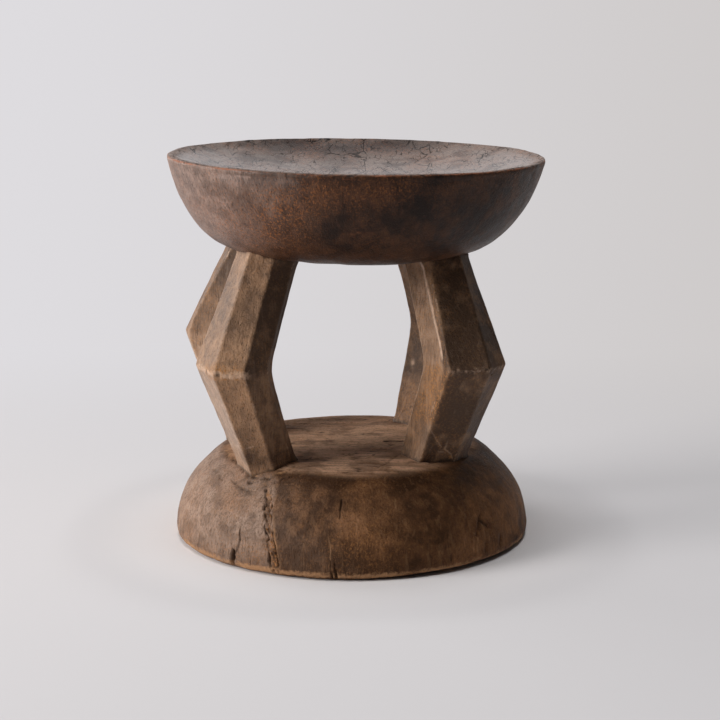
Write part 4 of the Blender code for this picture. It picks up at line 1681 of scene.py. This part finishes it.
@dataclass
class Studio:
    """The camera, the pale floor that sweeps up behind, the lamps and the world."""

    camera_place: Place = (0.0070, -1.5516, 0.4680)
    camera_pitch: float = 11.71
    focal_length: float = 93.75
    sensor_width: float = 36.0
    sight: float = 100.0
    floor_run: Span = (-4.0, 7.0)
    floor_half_width: float = 5.0
    floor_rows: int = 89
    floor_columns: int = 41
    bend: float = 2.2
    bend_radius: float = 1.2
    floor_colour: Colour = (0.548, 0.533, 0.543)
    front_colour: Colour = (0.10, 0.098, 0.10)
    # Painted light: a paler floor round the stool's foot, and how far it reaches.
    painted_light_colour: Colour = (0.775, 0.750, 0.755)
    back_left: Colour = (0.735, 0.720, 0.745)
    back_right: Colour = (0.610, 0.585, 0.580)
    front_places: Span = (-0.95, -0.45)
    painted_light_reaches: Span = (0.24, 0.14)
    glow_places: Span = (0.10, 0.80)
    glow_slants: Span = (-0.25, 0.30)
    slant_depth: float = 1.6
    ambient: float = 0.055
    lamps: tuple[Lamp, ...] = (
        Lamp(
            "key", (-2.45, -0.86, 1.15), (0.0, 0.0, 0.15), 1.3, 1.4, 66.0, (1.0, 0.985, 0.97)
        ),
        Lamp("top", (0.05, 0.0, 2.95), (0.0, 0.0, 0.0), 1.3, 1.3, 68.0),
        Lamp("back", (-2.10, 1.25, 0.95), (0.0, 0.0, 0.12), 1.6, 0.8, 17.0),
    )

    def build(self) -> None:
        """Set up everything round the stool."""
        self.add_camera()
        self.add_floor()
        for lamp in self.lamps:
            lamp.switch_on()
        self.set_world()
        bpy.context.scene.view_settings.view_transform = "Standard"

    def add_camera(self) -> None:
        """Add the camera and make it the scene's own."""
        data = bpy.data.cameras.new("camera")
        data.lens = self.focal_length
        data.sensor_width = self.sensor_width
        data.clip_end = self.sight
        item = put("camera", data)
        item.location = self.camera_place
        item.rotation_euler = (math.radians(90.0 - self.camera_pitch), 0.0, 0.0)
        bpy.context.scene.camera = item

    def add_floor(self) -> None:
        """Lay the floor: flat to a line behind the stool, then a quarter circle up.

        The place is (x, s, 0) up to the bend b. Past it, with a = (s - b) / r for the
        bend's radius r, it is (x, b + r sin a, r (1 - cos a)) for a quarter turn, and
        from there it rises straight.
        """
        run = np.linspace(*self.floor_run, self.floor_rows)[:, None]
        x = np.linspace(-self.floor_half_width, self.floor_half_width, self.floor_columns)
        turn = np.clip((run - self.bend) / self.bend_radius, 0.0, math.pi / 2.0)
        rest = np.maximum(run - self.bend - self.bend_radius * math.pi / 2.0, 0.0)
        y = np.where(run < self.bend, run, self.bend + self.bend_radius * np.sin(turn))
        z = self.bend_radius * (1.0 - np.cos(turn)) + rest
        grid = np.stack(np.broadcast_arrays(x, y, z), axis=-1)
        rows, columns, _ = grid.shape
        index = np.arange(rows * columns).reshape(rows, columns)
        quads = np.stack(
            [index[:-1, :-1], index[:-1, 1:], index[1:, 1:], index[1:, :-1]], axis=-1
        )
        mesh = bpy.data.meshes.new("floor")
        mesh.from_pydata(grid.reshape(-1, 3).tolist(), [], quads.reshape(-1, 4).tolist())
        mesh.shade_smooth()
        mesh.materials.append(self.floor_material())
        put("floor", mesh)

    def floor_material(self) -> bpy.types.Material:
        """Plain matt paint, with an even glow far behind the stool.

        The paint is palest close to the stool's axis, a painted pool of light that lifts the
        stool's shadow round its foot, and darker in front. The glow shows only to the camera
        and in reflections. It grows towards the back, and its colour changes from left to
        right with x / (y + the slant's depth).

        Returns:
            The material.
        """
        material = bpy.data.materials.new("floor_paint")
        material.use_nodes = True
        shader = material.node_tree.nodes["Principled BSDF"]
        g = Graph(material.node_tree)
        spot = g.add("ShaderNodeTexCoord").outputs["Object"]
        x, y, _ = g.add("ShaderNodeSeparateXYZ", Vector=spot).outputs
        away = g.add("ShaderNodeVectorMath", {"operation": "LENGTH"})
        g.fill(away.inputs[0], spot)
        near = g.span(away.outputs["Value"], *self.painted_light_reaches)
        paint = g.blend(g.span(y, *self.front_places), self.front_colour, self.floor_colour)
        # Painted light: the floor is paler round the stool's foot, lifting the shadow there.
        paint = g.blend(near, paint, self.painted_light_colour)
        slant = g.math("DIVIDE", x, g.plus(y, self.slant_depth))
        glow = g.blend(g.span(slant, *self.glow_slants), self.back_left, self.back_right)
        path = g.add("ShaderNodeLightPath")
        seen = g.larger(path.outputs["Is Camera Ray"], path.outputs["Is Glossy Ray"])
        share = g.times(g.span(y, *self.glow_places), seen)
        g.fill(shader.inputs["Base Color"], g.blend(share, paint, (0.0, 0.0, 0.0)))
        g.fill(shader.inputs["Emission Color"], glow)
        g.fill(shader.inputs["Emission Strength"], share)
        shader.inputs["Roughness"].default_value = 0.9
        shader.inputs["Specular IOR Level"].default_value = 0.0
        return material

    def set_world(self) -> None:
        """Give the room a plain soft light."""
        world = bpy.data.worlds.new("room")
        world.use_nodes = True
        back = world.node_tree.nodes["Background"]
        back.inputs["Color"].default_value = (1.0, 1.0, 1.0, 1.0)
        back.inputs["Strength"].default_value = self.ambient
        bpy.context.scene.world = world


# The stool


# Each finish's dusty colour paints the sheen towards the key lamp; the legs' pale colour also
# paints highlights.
SEAT_FINISH = WoodFinish(
    name="seat_wood", deep=(0.023, 0.011, 0.007), body=(0.132, 0.060, 0.031),
    warm=(0.460, 0.155, 0.042), pale=(0.300, 0.110, 0.055), grey=(0.268, 0.212, 0.184),
    dust_and_sheen_colour=(0.380, 0.265, 0.215), fleck=0.34, roughness=0.38, top_roughness=0.34,
    check_width=0.031, presence=0.45, polish=0.85, specular=0.20, speckle=0.16, blotch=0.65,
)
# The base's end-grain grey is set light: the top's own paler end grain, lifted further as painted
# light for the top under the seat.
BASE_FINISH = WoodFinish(
    name="base_wood", deep=(0.055, 0.023, 0.009), body=(0.290, 0.134, 0.058),
    warm=(0.420, 0.180, 0.060), pale=(0.480, 0.260, 0.130), grey=(0.800, 0.490, 0.315),
    dust_and_sheen_colour=(0.430, 0.305, 0.235), fleck=0.30, roughness=0.50, top_roughness=0.62,
    top_stretch=(0.10, 1.0, 1.0), check_width=0.062, presence=0.34,
    check_stretch=(0.40, 1.0, 1.0), specular=0.12, speckle=0.25, blotch=0.50,
)
LEG_FINISH = WoodFinish(
    name="leg_wood", deep=(0.095, 0.053, 0.031), body=(0.470, 0.272, 0.155),
    warm=(0.480, 0.215, 0.072), pale=(0.700, 0.465, 0.320), dust_and_sheen_colour=(0.530, 0.360, 0.255),
    fleck=0.35, roughness=0.44, polish=0.8, speckle=0.13,
)


@dataclass
class Stool:
    """The whole stool: seat, base and four legs."""

    seat: Seat
    base: Base
    legs: tuple[Leg, ...]

    @classmethod
    def carved(cls) -> "Stool":
        """The stool with the sizes of its solids.

        Returns:
            The stool, ready to show.
        """
        seat = Seat("seat", "seat_wood", SEAT_MARKS, SEAT_TINTS)
        base = Base("base", "base_wood", BASE_MARKS, BASE_TINTS)
        legs = (
            Leg(
                "leg_front_left", "leg_wood", FRONT_LEFT_MARKS, FRONT_LEFT_TINTS,
                azimuths=(221.2, 218.8, 218.1), rings=(0.0955, 0.1234, 0.0900),
                widths=(0.0461, 0.0651, 0.0505), knee=0.1574,
                corners=((1.02, 0.45), (0.39, 1.02), (-0.45, 1.00), (-0.78, 0.80),
                         (-1.00, -0.45), (-0.45, -1.00), (0.40, -1.00), (0.69, -0.72)),
                patches=FRONT_LEFT_PATCHES, knee_wear=0.72,
            ),
            Leg(
                "leg_front_right", "leg_wood", FRONT_RIGHT_MARKS,
                azimuths=(325.0, 321.0, 329.6), rings=(0.0883, 0.1244, 0.0861),
                widths=(0.0557, 0.0583, 0.0438), knee=0.1582,
                corners=((0.64, 0.76), (0.40, 1.00), (-0.45, 1.00), (-1.00, 0.45),
                         (-1.18, -0.44), (-0.33, -0.88), (-0.05, -0.98), (0.71, -0.06)),
                patches=FRONT_RIGHT_PATCHES, knee_wear=0.40,
                swell=(0.0015, 0.0055, 0.0018),
            ),
            Leg(
                "leg_rear_left", "leg_wood", REAR_LEFT_MARKS,
                azimuths=(152.4, 150.6, 151.4), rings=(0.0964, 0.1283, 0.0921),
                widths=(0.0487, 0.0639, 0.0505), knee=0.1643,
                corners=((0.86, 0.45), (0.66, 1.04), (0.24, 1.39), (-0.70, 1.38),
                         (-1.00, -0.40), (-0.45, -0.90), (0.45, -0.90), (0.86, -0.40)),
                patches=REAR_LEFT_PATCHES, knee_wear=0.50,
            ),
            Leg(
                "leg_rear_right", "leg_wood", REAR_RIGHT_MARKS,
                azimuths=(52.1, 49.8, 49.5), rings=(0.0984, 0.1245, 0.0905),
                widths=(0.0480, 0.0620, 0.0500), knee=0.1621,
                corners=((0.90, 0.45), (0.45, 1.00), (-0.35, 0.88), (-0.77, 0.62),
                         (-1.00, -0.45), (-0.45, -1.00), (0.45, -1.00), (0.90, -0.45)),
                patches=REAR_RIGHT_PATCHES, knee_wear=0.40,
            ),
        )
        return cls(seat, base, legs)

    def show(self, effects: Effects) -> None:
        """Build each piece and dress it.

        Args:
            effects: The shared node groups.
        """
        self.seat.show(self.seat.surface(), SEAT_FINISH.material(effects))
        self.base.show(self.base.surface(), BASE_FINISH.material(effects))
        leg_wood = LEG_FINISH.material(effects)
        for leg in self.legs:
            leg.show(leg.surface(), leg_wood)


def main() -> None:
    """Build the stool and its studio."""
    logging.basicConfig(level=logging.INFO, format="%(name)s: %(message)s")
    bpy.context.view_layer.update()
    Studio().build()
    Stool.carved().show(Effects())


if __name__ == "__main__":
    main()
